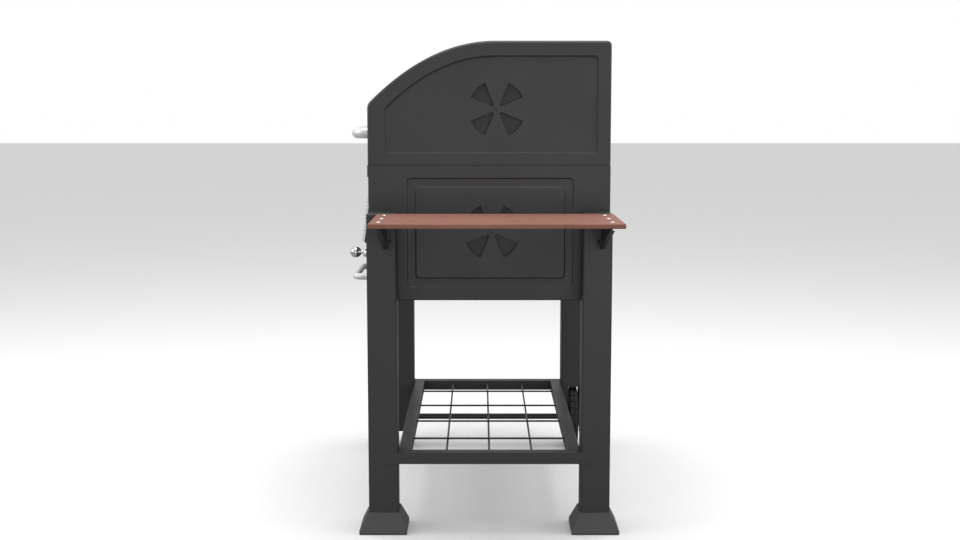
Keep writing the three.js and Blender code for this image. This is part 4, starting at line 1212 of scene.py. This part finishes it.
def firebox_side(hand, side):
    node = f"firebox_side_{hand}"
    low, high = span(node)
    face = span("lid_side_right")[1].x
    press, wide, roll = FIREBOX_PRESS, mm(sizes().press_radius), FIREBOX_ROLL
    groove, corner = press["groove"], press["corner"]
    rings = []

    def x_of(depth):
        return side * (face - depth)

    def ring(front, back, bottom, top, round_off, depth):
        outline = ring_of_rectangle(front, back, bottom, top, round_off)
        rings.append([Vector((x_of(depth), p.x, p.y)) for p in outline])

    def pressed(grow, depth, round_off):
        ring(
            press["front"] - grow, press["back"] + grow, press["bottom"] - grow, press["top"] + grow,
            round_off, depth,
        )

    for i in range(5):
        a = radians(90.0 * i / 4)
        inset = roll * (1 - math.cos(a))
        ring(
            low.y + inset, high.y - inset, low.z + inset, high.z - 0.4 * inset,
            1.5 + inset, roll * (1 - math.sin(a)),
        )
    pressed(wide / 2, 0.0, corner + wide / 2)
    for across, down in shoulder(5, wide, press["depth"]):
        pressed(wide / 2 - across, down, corner + wide / 2 - across)
    pressed(-groove + wide / 2, press["depth"], corner)
    for across, down in shoulder(5, wide, press["depth"]):
        pressed(-groove + wide / 2 - across, press["depth"] - down, corner - across / 2)
    bm = bmesh.new()
    loops = [[bm.verts.new(p) for p in outline] for outline in rings]
    bridge(bm, loops)
    fill_field(bm, loops[-1], x_of, petals("firebox", hand))
    pressed_piece(f"{node}_pressing", bm, "stand", node, sideways(side))


def build_firebox():
    for hand, side in (("right", 1), ("left", -1)):
        firebox_side(hand, side)
    softened("firebox_front", "plate", "powder_coat", 0.6, segments=3)
    softened("firebox_back", "plate", "powder_coat", 0.6, segments=3)
    softened("firebox_floor", "plate", "powder_coat", 0.5, segments=2)
    for node in ("grate_ledge_front", "grate_ledge_back"):
        softened(node, "angle", "zinc", 0.4, segments=2)


# ---- Lid ----
LID_SLOPE = {"z": 938.0, "angle": radians(44.6), "crown_end": 12.0, "corner": 9.5}
LID_FIELD = {"front": 40.0, "slope": 34.5, "top": 33.2, "back": 30.0, "bottom": 24.5, "corner": 4.0}
LID_BACK_CORNER = 12.0
LID_BOTTOM_STEPS = 10
LID_FIELD_DEPTH = 4.0
LID_FLANGE = 21.0  # how far a side panel is turned in to meet the lid's wrap
LID_DROP = 2.0  # how far the pressed lid comes down past its CAD edge, almost to the firebox


def lid_outline(front, slope, top, back, bottom, corner, low, high):
    """The lid's side outline in (Y, Z), moved in by these insets, open along the bottom."""
    angle = LID_SLOPE["angle"]
    front_y, top_z, back_y = low.y + front, high.z - top, high.y - back
    slope_y = low.y + slope * math.sin(angle)
    slope_z = LID_SLOPE["z"] - slope * math.cos(angle)
    knee_z = slope_z + (front_y - slope_y) * math.tan(angle)
    crown_y = slope_y + (top_z - slope_z) / math.tan(angle)
    foot = Vector((front_y, low.z + bottom))
    below_knee = Vector((front_y, knee_z - corner))
    past_knee = Vector((front_y + corner * math.cos(angle), knee_z + corner * math.sin(angle)))
    crown_end = Vector((LID_SLOPE["crown_end"], top_z))
    before_back = Vector((back_y - LID_BACK_CORNER, top_z))
    below_back = Vector((back_y, top_z - LID_BACK_CORNER))
    points = [foot]
    points += straight(foot, below_knee, 6)
    points += quadratic(below_knee, Vector((front_y, knee_z)), past_knee, 8)
    points += quadratic(past_knee, Vector((crown_y, top_z)), crown_end, 28)
    points += straight(crown_end, before_back, 8)
    points += quadratic(before_back, Vector((back_y, top_z)), below_back, 8)
    points += straight(below_back, Vector((back_y, low.z + bottom)), 8)
    return points


def lid_side(hand, side):
    node = f"lid_side_{hand}"
    low, high = span(node)
    face = max(abs(low.x), abs(high.x))
    roll, wide = mm(sizes().lid_roll), mm(sizes().press_radius)
    field = LID_FIELD
    rings = []

    def x_of(depth):
        return side * (face - depth)

    def ring(front, slope, top, back, bottom, corner, depth):
        outline = lid_outline(front, slope, top, back, bottom, corner, low, high)
        outline += straight(outline[-1], outline[0], LID_BOTTOM_STEPS)[:-1]
        rings.append([Vector((x_of(depth), p.x, p.y)) for p in outline])

    ring(0, 0, 0, 0, -LID_DROP, LID_SLOPE["corner"], LID_FLANGE)
    for i in range(8):
        a = radians(90.0 * i / 7)
        inset = roll * (1 - math.cos(a))
        ring(inset, inset, inset, inset, -LID_DROP, LID_SLOPE["corner"], roll * (1 - math.sin(a)))

    def pressed(grow, depth):
        ring(
            field["front"] - grow, field["slope"] - grow, field["top"] - grow, field["back"] - grow,
            field["bottom"] - grow, field["corner"], depth,
        )

    pressed(wide / 2, 0.0)
    for across, down in swept_shoulder(wide, LID_FIELD_DEPTH):
        pressed(wide / 2 - across, down)
    bm = bmesh.new()
    loops = [[bm.verts.new(p) for p in outline] for outline in rings]
    bridge_open_bottom(bm, loops[:9])
    bridge(bm, loops[8:])
    fill_field(bm, loops[-1], lambda depth: x_of(LID_FIELD_DEPTH + depth), petals("lid", hand))
    pressed_piece(f"{node}_pressing", bm, "lid", node, sideways(side))


def bridge_open_bottom(bm, rings):
    """Quads between rings round the top only: the last points run along the lid's open bottom edge."""
    count = len(rings[0]) - LID_BOTTOM_STEPS + 1
    for one, two in zip(rings, rings[1:]):
        for i in range(count - 1):
            face_between(bm, [one[i], one[i + 1], two[i + 1], two[i]])


def lid_shell():
    low, high = span("lid_side_right")
    outline = lid_outline(0, 0, 0, 0, -LID_DROP, LID_SLOPE["corner"], low, high)
    half = high.x - LID_FLANGE - 0.3
    bm = bmesh.new()
    columns = []
    steps = 12
    for i in range(steps + 1):
        x = -half + 2 * half * i / steps
        columns.append([bm.verts.new(Vector((x, p.x, p.y))) for p in outline])
    bridge(bm, columns, closed=False)
    centre = Vector((0, 40, 860))
    pressed_piece(
        "lid_shell_wrap", bm, "lid", "lid_shell",
        lambda point: (Vector((0, point.y, point.z)) - centre).normalized(),
    )


def build_lid():
    lid_shell()
    for hand, side in (("right", 1), ("left", -1)):
        lid_side(hand, side)


# ---- Dampers ----
def build_dampers():
    """A slotted disc with a finger tab behind each petal vent, and the pin that it turns on."""
    for room in ("lid", "firebox"):
        for hand, side in (("right", 1), ("left", -1)):
            # The discs take the darkened coat: painted shade inside the vents.
            softened(f"{room}_damper_{hand}", "disc", "damper_coat", 0.25, segments=2)
            vent_pivot(room, hand, side)


def vent_pivot(room, hand, side):
    """The pin that a damper turns on: through the panel and the disc, with a low domed head outside."""
    low, high = span(f"{room}_side_{hand}")
    inner = min(abs(low.x), abs(high.x))
    outer = span("lid_side_right")[1].x - (LID_FIELD_DEPTH if room == "lid" else 0.0) + 0.9
    y, z = vent_centre(room, hand)
    place = Matrix.Translation((0, y, z)) @ Matrix.Rotation(side * radians(90), 4, "Y")
    bm = bmesh.new()
    lathe(bm, [
        (0, inner), (3.3, inner), (3.7, inner + 0.4), (3.7, outer - 0.9), (4.0, outer - 0.85),
        (4.0, outer - 0.5), (3.3, outer - 0.15), (1.7, outer), (0, outer),
    ], 24, place)
    outward(bm)
    body = "lid" if room == "lid" else "stand"
    piece(f"{room}_vent_pivot_{hand}", bm, "powder_coat", body)


# ---- Handles and knob ----
def bow_path(low, high, radius, bend, steps=10):
    """The spine of a bow handle: out of the wall, round a bend, along X, and back."""
    z = (low.z + high.z) / 2
    bar_y, wall_y = low.y + radius, high.y
    end = (high.x - low.x) / 2 - radius
    centre_x = (high.x + low.x) / 2
    left = [Vector((centre_x - end, wall_y, z)), Vector((centre_x - end, (wall_y + bar_y + bend) / 2, z))]
    for i in range(steps + 1):
        a = radians(90.0 * i / steps)
        left.append(Vector((centre_x - end + bend * (1 - math.cos(a)), bar_y + bend * (1 - math.sin(a)), z)))
    right = [Vector((2 * centre_x - p.x, p.y, p.z)) for p in reversed(left)]
    return left + right


def bow_handle(node, bend, body):
    low, high = span(node)
    radius = (high.z - low.z) / 2
    bm = bmesh.new()
    tube(bm, bow_path(low, high, radius, bend), radius, 32)
    outward(bm)
    piece(f"{node}_bar", bm, "silver_coat", body, (node,), weighted=False)


def build_handles():
    bow_handle("lid_handle", 26.0, "lid")
    bow_handle("drawer_handle", 17.0, "drawer")


def build_knob():
    low, high = span("crank_knob")
    ball = (high.z - low.z) / 2
    centre = (low + high) / 2
    total = high.y - low.y
    profile = [(0, 0)]
    for i in range(1, 15):
        a = radians(148.0 * i / 14)
        profile.append((ball * math.sin(a), ball - ball * math.cos(a)))
    neck = profile[-1]
    profile += [
        (neck[0] - 1.2, neck[1] + 0.9), (4.3, neck[1] + 2.2), (4.2, neck[1] + 4.0), (4.6, neck[1] + 6.5),
        (5.4, total - 3.2), (6.3, total - 2.6), (6.6, total - 1.9), (6.6, total - 0.6),
        (6.1, total), (0, total),
    ]
    place = Matrix.Translation((centre.x, low.y, centre.z)) @ Matrix.Rotation(radians(-90), 4, "X")
    bm = bmesh.new()
    lathe(bm, profile, 56, place)
    outward(bm)
    piece("crank_knob_ball", bm, "chrome", "crank", ("crank_knob",))


def build_crank():
    softened("crank_arm", "flat", "chrome", 1.0, segments=3)
    axis = middle_of("crank_shaft")
    end = Vector((axis.x, span("crank_arm")[0].y + 0.4, axis.z))
    fixings("crank_arm_bolt", [(end, (0, -1, 0))], "crank", 5.0, 3.2, 1.3)
    build_knob()
    softened("crank_bush", "ring", "zinc", 0.5, segments=2)
    softened("crank_shaft", "steel", "zinc", 0.25, segments=1)
    softened("shaft_bracket", "plate", "zinc", 0.5, segments=2)


# ---- Side shelf ----
SCREW_LINES = (-222.0, 243.0)
BRACKET_LINES = (("front", -222.0), ("back", 242.0))


def build_shelf():
    edge = mm(sizes().board_edge)
    heads = []
    for index, name in enumerate(("inner", "middle", "outer")):
        node = f"shelf_plank_{name}"
        softened(node, "board", f"board_{index}", edge, segments=4)
        low, high = span(node)
        for y in SCREW_LINES:
            heads.append((Vector(((low.x + high.x) / 2, y, high.z - 0.2)), (0, 0, 1)))
    fixings("shelf_screws", heads, "stand", mm(sizes().screw_head), 2.4, 1.3)
    for end, y in BRACKET_LINES:
        node = f"shelf_bracket_{end}"
        softened(node, "steel", "powder_coat", 0.5, segments=2)
        low, high = span(node)
        places = [
            (Vector((low.x + 2.0, y + side * 8.0, high.z - drop)), (1, 0, 0))
            for side in (-1, 1) for drop in (16.0, 50.0)
        ]
        fixings(f"shelf_bracket_{end}_bolts", places, "stand", 3.4, 2.2, 1.0, "powder_coat")


# ---- Stoking door ----
DOOR = {"wall": -265.3, "bottom": 620.0, "rise": 159.0, "top_reach": 3.0, "foot_reach": 22.0, "foot": 3.0}
DOOR_LEAN = math.atan((DOOR["foot_reach"] - DOOR["top_reach"]) / DOOR["rise"])


def build_door():
    softened("door_panel", "tray", "powder_coat", 0.8, segments=3)
    plate_low, plate_high = span("door_ribbed_plate")
    half = (plate_high.x - plate_low.x) / 2
    height, base, rib, pitch = 132.0, 3.6, 4.3, 7.3
    bm = bmesh.new()
    box(bm, (-half, -base, 0), (half, 0, height))
    break_edges(bm, 0.5, 2, sharp)
    rib_bm = bmesh.new()
    root, crest = -base + 0.3, -base - rib + 0.3
    corners = [Vector((root, 0)), Vector((crest, -0.72 * pitch)), Vector((root, -pitch))]
    profile = rounded_outline(corners, [0, 0.55, 0], 4)
    prism(rib_bm, [(-half + 0.6, p.x, p.y) for p in profile], (2 * half - 1.2, 0, 0))
    outward(rib_bm)
    ribs = repeated(
        "row_of", seed_mesh(rib_bm), Count=int(height // pitch), Start=(0.0, 0.0, height - 0.8),
        Step=(0.0, 0.0, -pitch), Material=finish("stainless"),
    )
    bm.from_mesh(ribs)
    face_y = DOOR["wall"] - DOOR["foot_reach"] + DOOR["foot"] * math.tan(DOOR_LEAN)
    seat = Vector((0, face_y - 0.3 / math.cos(DOOR_LEAN), DOOR["bottom"] + DOOR["foot"]))
    place = Matrix.Translation(seat) @ Matrix.Rotation(-DOOR_LEAN, 4, "X")
    bmesh.ops.transform(bm, matrix=place, verts=bm.verts)
    piece(
        "door_ribbed_plate_steel", bm, "stainless", "stoking_door", ("door_ribbed_plate",),
        smooth=28.0,
    )
    softened("door_hinge_rod", "steel", "zinc", 0.4, segments=2)


# ---- Ash drawer, pan and their slides ----
def build_drawer():
    softened("ash_drawer", "tray", "powder_coat", 0.7, segments=3)
    for node in ("drawer_runner_right", "drawer_runner_left"):
        softened(node, "steel", "zinc", 0.4, segments=2)


def build_pan():
    softened("charcoal_pan", "enamelled", "enamel", 0.6, segments=3)
    softened("lift_rack", "steel", "zinc", 0.2, segments=1)
    for node in ("pan_guide_right", "pan_guide_left"):
        softened(node, "steel", "zinc", 0.4, segments=2)


def build_grates():
    """Two enamelled grates: a flat frame with round rods welded across it."""
    frame_bar, count = 3.0, 13
    for hand in ("right", "left"):
        node = f"cooking_grate_{hand}"
        low, high = span(node)
        bm = bmesh.new()
        path = ring_of_rectangle(
            low.x + frame_bar, high.x - frame_bar, low.y + frame_bar, high.y - frame_bar, 9.0, 5, 2,
        )
        middle_z = (low.z + high.z) / 2
        spine = [Vector((p.x, p.y, middle_z)) for p in path]
        closed_tube(bm, spine, frame_bar, 14)
        outward(bm)
        pitch = (high.x - low.x - 2 * frame_bar) / (count + 1)
        radius = mm(sizes().grate_rod)
        rods = repeated(
            "row_of_rods", bpy.data.meshes.new("seed"), Count=count,
            Start=(low.x + frame_bar + pitch, low.y + frame_bar, high.z - radius - 0.6), Step=(pitch, 0, 0),
            Run=(0, high.y - low.y - 2 * frame_bar, 0), Radius=radius, Sides=14, Material=finish("enamel"),
        )
        bm.from_mesh(rods)
        piece(f"{node}_rods", bm, "enamel", f"grate_{hand}", (node,), weighted=False)


def closed_tube(bm, path, radius, sides):
    """A round bar round a closed flat path that lies level."""
    rings = []
    for i, point in enumerate(path):
        ahead = (path[(i + 1) % len(path)] - path[i - 1]).normalized()
        side = ahead.cross(Vector((0, 0, 1)))
        turn = [2 * math.pi * k / sides for k in range(sides)]
        rings.append([
            bm.verts.new(point + radius * (math.cos(a) * side + math.sin(a) * Vector((0, 0, 1))))
            for a in turn
        ])
    bridge(bm, rings + [rings[0]])


# ---- Hinges ----
HINGE_FACE = 267.2  # the outer face of the hinge leaves


def build_hinges():
    for hand in ("right", "left"):
        for part, body in (("lid", "lid"), ("firebox", "stand")):
            node = f"{part}_hinge_leaf_{hand}"
            softened(node, "steel", "zinc", 0.35, segments=2)
            low, high = span(node)
            x = middle_of(node).x
            z = high.z - 9.0 if part == "lid" else low.z + 9.0
            places = [(Vector((x + across, HINGE_FACE, z)), (0, 1, 0)) for across in (-16.0, 16.0)]
            fixings(f"{node}_rivets", places, body, mm(sizes().rivet_head), 1.8, 0.0, "zinc")


# ---- Thermometer ----
THERMOMETER = {"up_slope": 64.0, "lean": 0.8}


def build_thermometer():
    """A bezel, a pale dial with plain ticks, a pointer and a flat glass, on the lid's slope."""
    angle = LID_SLOPE["angle"]
    low = span("lid_side_right")[0]
    along = THERMOMETER["up_slope"]
    seat = Vector((0, low.y + along * math.cos(angle), LID_SLOPE["z"] + along * math.sin(angle)))
    place = Matrix.Translation(seat)
    place @= Matrix.Rotation(radians(90) + THERMOMETER["lean"] * angle, 4, "X")
    place @= Matrix.Rotation(radians(-90), 4, "X")
    bezel = bmesh.new()
    ring = [
        (0, -40.0), (4.0, -40.0), (4.0, 1.5), (27.5, 1.5), (29.3, 2.0), (30.0, 3.4), (30.0, 6.6),
        (29.4, 8.6), (28.0, 9.8), (26.4, 10.0), (25.4, 9.4), (25.0, 8.2), (25.0, 5.2), (0, 5.2),
    ]
    lathe(bezel, ring, 72, place)
    outward(bezel)
    piece("thermometer_bezel", bezel, "stainless", "lid", ("thermometer",))
    dial = bmesh.new()
    lathe(dial, [(0, 5.3), (24.8, 5.3), (24.8, 6.0), (0, 6.0)], 64, place)
    outward(dial)
    piece("thermometer_dial", dial, "dial_card", "lid")
    tick = bmesh.new()
    box(tick, (-0.35, 5.9, 18.5), (0.35, 6.25, 22.5))
    ticks = repeated(
        "ring_of", seed_mesh(tick), Count=15, Sweep=radians(280), First=radians(-130.6),
        Material=finish("dial_ink"),
    )
    marks = bmesh.new()
    marks.from_mesh(ticks)
    flip = place @ Matrix.Rotation(radians(90), 4, "X")
    bmesh.ops.transform(marks, matrix=flip, verts=marks.verts)
    outward(marks)
    piece("thermometer_ticks", marks, "dial_ink", "lid", weighted=False)
    hand = bmesh.new()
    needle = [(-1.3, -4.5), (1.3, -4.5), (0.9, 8.0), (0.0, 19.0), (-0.9, 8.0)]
    tilt = Matrix.Rotation(radians(112), 4, "Z")
    prism(hand, [(x, y, 6.7) for x, y in needle], (0, 0, 0.5), place @ tilt)
    lathe(hand, [(0, 6.1), (2.3, 6.1), (2.3, 7.4), (1.8, 7.8), (0, 7.8)], 24, place)
    outward(hand)
    piece("thermometer_pointer", hand, "pointer_red", "lid", weighted=False)
    glass = bmesh.new()
    lathe(glass, [(0, 8.2), (24.9, 8.2), (24.9, 9.2), (0, 9.4)], 64, place)
    outward(glass)
    piece("thermometer_glass", glass, "clear_glass", "lid", weighted=False)


# ---- Stage ----
def area_light(name, place, target, size, power):
    data = bpy.data.lights.new(name, "AREA")
    data.shape, data.size, data.size_y = "RECTANGLE", size[0], size[1]
    data.energy = power
    obj = bpy.data.objects.new(name, data)
    obj.location = ORIGIN + Vector(place)
    obj.rotation_euler = (Vector(target) - Vector(place)).to_track_quat("-Z", "Y").to_euler()
    bpy.context.scene.collection.objects.link(obj)


def build_stage():
    scene = bpy.context.scene
    studio = scene.trolley_studio
    bm = bmesh.new()
    half = 30.0
    bm.faces.new([bm.verts.new((x * half, y * half, 0)) for x, y in ((-1, -1), (1, -1), (1, 1), (-1, 1))])
    mesh = bpy.data.meshes.new("studio_floor")
    bm.to_mesh(mesh)
    bm.free()
    material, tree, shader = blank_material("studio_floor", Roughness=0.9)
    patches = add_node(tree, "ShaderNodeTexNoise", {"Vector": placed(tree), "Scale": 3.0})
    path = tree.nodes.new("ShaderNodeLightPath")
    pale = blended(tree, patches.outputs["Fac"], (0.94, 0.94, 0.94), (0.96, 0.96, 0.96))
    bounce = shade((1, 1, 1), studio.floor_bounce)
    tree.links.new(blended(tree, path.outputs["Is Camera Ray"], bounce, pale), shader.inputs["Base Color"])
    mesh.materials.append(material)
    floor = bpy.data.objects.new("studio_floor", mesh)
    scene.collection.objects.link(floor)

    world = bpy.data.worlds.new("studio_surround")
    scene.world = world
    world.use_nodes = True
    tree = world.node_tree
    tree.nodes.clear()
    path = tree.nodes.new("ShaderNodeLightPath")
    around = add_node(tree, "ShaderNodeBackground", {"Color": (1, 1, 1, 1), "Strength": studio.surround})
    seen = add_node(tree, "ShaderNodeBackground", {"Color": (1, 1, 1, 1), "Strength": 1.0})
    both = add_node(tree, "ShaderNodeMixShader", {
        0: path.outputs["Is Camera Ray"], 1: around.outputs["Background"], 2: seen.outputs["Background"],
    })
    output = tree.nodes.new("ShaderNodeOutputWorld")
    tree.links.new(both.outputs["Shader"], output.inputs["Surface"])

    area_light("light_front_side", (0.6, -3.2, 1.9), (0, 0, 0.6), (2.4, 2.6), studio.side_light)
    area_light("light_back_side", (0.6, 3.2, 1.9), (0, 0, 0.6), (2.4, 2.6), studio.side_light)
    area_light("light_above", (0.3, 0, 3.4), (0, 0, 0.6), (2.6, 2.6), studio.top_light)
    area_light("light_by_camera", (4.0, 0.5, 0.55), (0, 0, 0.1), (2.4, 0.9), studio.camera_light)

    camera = bpy.data.cameras.new("studio_camera")
    camera.lens, camera.sensor_width = studio.lens, 36.0
    camera.dof.use_dof = False
    viewer = bpy.data.objects.new("studio_camera", camera)
    viewer.location = ORIGIN + Vector(studio.camera_place)
    viewer.rotation_euler = (radians(90) - studio.camera_pitch, 0, radians(90))
    scene.collection.objects.link(viewer)
    scene.camera = viewer
    scene.view_settings.view_transform = "Standard"


# ---- Operators ----
class TROLLEY_OT_legs(bpy.types.Operator):
    """Builds the four legs, the two feet and the rack's bars and rails"""
    bl_idname = "trolley.legs"
    bl_label = "Legs, Feet and Rack"

    def execute(self, context):
        build_legs()
        return {"FINISHED"}


class TROLLEY_OT_rack_grille(bpy.types.Operator):
    """Builds the rack's welded wires"""
    bl_idname = "trolley.rack_grille"
    bl_label = "Rack Grille"

    def execute(self, context):
        build_rack_grille()
        return {"FINISHED"}


class TROLLEY_OT_wheels(bpy.types.Operator):
    """Builds the tyres, hubs, axle and caps"""
    bl_idname = "trolley.wheels"
    bl_label = "Wheels"

    def execute(self, context):
        build_wheels()
        return {"FINISHED"}


class TROLLEY_OT_firebox(bpy.types.Operator):
    """Builds the pressed sides, front, back, floor and ledges"""
    bl_idname = "trolley.firebox"
    bl_label = "Firebox"

    def execute(self, context):
        build_firebox()
        return {"FINISHED"}


class TROLLEY_OT_lid(bpy.types.Operator):
    """Builds the lid's wrap and its two pressed sides"""
    bl_idname = "trolley.lid"
    bl_label = "Lid"

    def execute(self, context):
        build_lid()
        return {"FINISHED"}


class TROLLEY_OT_dampers(bpy.types.Operator):
    """Builds the four vent dampers"""
    bl_idname = "trolley.dampers"
    bl_label = "Dampers"

    def execute(self, context):
        build_dampers()
        return {"FINISHED"}


class TROLLEY_OT_hinges(bpy.types.Operator):
    """Builds the hinge leaves and their rivets"""
    bl_idname = "trolley.hinges"
    bl_label = "Hinges"

    def execute(self, context):
        build_hinges()
        return {"FINISHED"}


class TROLLEY_OT_thermometer(bpy.types.Operator):
    """Builds the lid's thermometer"""
    bl_idname = "trolley.thermometer"
    bl_label = "Thermometer"

    def execute(self, context):
        build_thermometer()
        return {"FINISHED"}


class TROLLEY_OT_handles(bpy.types.Operator):
    """Builds the two bow handles"""
    bl_idname = "trolley.handles"
    bl_label = "Handles"

    def execute(self, context):
        build_handles()
        return {"FINISHED"}


class TROLLEY_OT_shelf(bpy.types.Operator):
    """Builds the boards, brackets, screws and bolts"""
    bl_idname = "trolley.shelf"
    bl_label = "Side Shelf"

    def execute(self, context):
        build_shelf()
        return {"FINISHED"}


class TROLLEY_OT_door(bpy.types.Operator):
    """Builds the door, its ribbed plate and its rod"""
    bl_idname = "trolley.door"
    bl_label = "Stoking Door"

    def execute(self, context):
        build_door()
        return {"FINISHED"}


class TROLLEY_OT_drawer(bpy.types.Operator):
    """Builds the drawer and its runners"""
    bl_idname = "trolley.drawer"
    bl_label = "Ash Drawer"

    def execute(self, context):
        build_drawer()
        return {"FINISHED"}


class TROLLEY_OT_pan(bpy.types.Operator):
    """Builds the pan, its lift rack and guides"""
    bl_idname = "trolley.pan"
    bl_label = "Charcoal Pan"

    def execute(self, context):
        build_pan()
        return {"FINISHED"}


class TROLLEY_OT_crank(bpy.types.Operator):
    """Builds the crank's arm, knob, bush and shaft"""
    bl_idname = "trolley.crank"
    bl_label = "Crank"

    def execute(self, context):
        build_crank()
        return {"FINISHED"}


class TROLLEY_OT_grates(bpy.types.Operator):
    """Builds the two cooking grates"""
    bl_idname = "trolley.grates"
    bl_label = "Cooking Grates"

    def execute(self, context):
        build_grates()
        return {"FINISHED"}


class TROLLEY_OT_stage(bpy.types.Operator):
    """Builds the floor, the lights and the camera"""
    bl_idname = "trolley.stage"
    bl_label = "Stage"

    def execute(self, context):
        build_stage()
        return {"FINISHED"}


OPERATORS = [
    TROLLEY_OT_legs, TROLLEY_OT_rack_grille, TROLLEY_OT_wheels, TROLLEY_OT_firebox, TROLLEY_OT_lid,
    TROLLEY_OT_dampers, TROLLEY_OT_hinges, TROLLEY_OT_thermometer, TROLLEY_OT_handles,
    TROLLEY_OT_shelf, TROLLEY_OT_door, TROLLEY_OT_drawer, TROLLEY_OT_pan, TROLLEY_OT_crank,
    TROLLEY_OT_grates, TROLLEY_OT_stage,
]


class TROLLEY_PT_sidebar(bpy.types.Panel):
    """Lists the trolley's pieces, sizes and colours"""
    bl_idname = "TROLLEY_PT_sidebar"
    bl_label = "Barbecue Trolley"
    bl_space_type = "VIEW_3D"
    bl_region_type = "UI"
    bl_category = "Barbecue"

    def draw(self, context):
        scene = context.scene
        for holder in (scene.trolley_sizes, scene.trolley_colours, scene.trolley_studio):
            column = self.layout.column(align=True)
            for name in type(holder).__annotations__:
                column.prop(holder, name)
        column = self.layout.column(align=True)
        for operator in OPERATORS:
            column.operator(operator.bl_idname)


CLASSES = [TrolleySizes, TrolleyColours, TrolleyStudio, *OPERATORS, TROLLEY_PT_sidebar]


def register():
    for cls in CLASSES:
        bpy.utils.register_class(cls)
    bpy.types.Scene.trolley_sizes = PointerProperty(type=TrolleySizes)
    bpy.types.Scene.trolley_colours = PointerProperty(type=TrolleyColours)
    bpy.types.Scene.trolley_studio = PointerProperty(type=TrolleyStudio)


def unregister():
    del bpy.types.Scene.trolley_studio
    del bpy.types.Scene.trolley_colours
    del bpy.types.Scene.trolley_sizes
    for cls in reversed(CLASSES):
        bpy.utils.unregister_class(cls)


def main():
    register()
    for operator in OPERATORS:
        group_name, call = operator.bl_idname.split(".")
        getattr(getattr(bpy.ops, group_name), call)()
    bpy.context.view_layer.update()


if __name__ == "__main__":
    main()
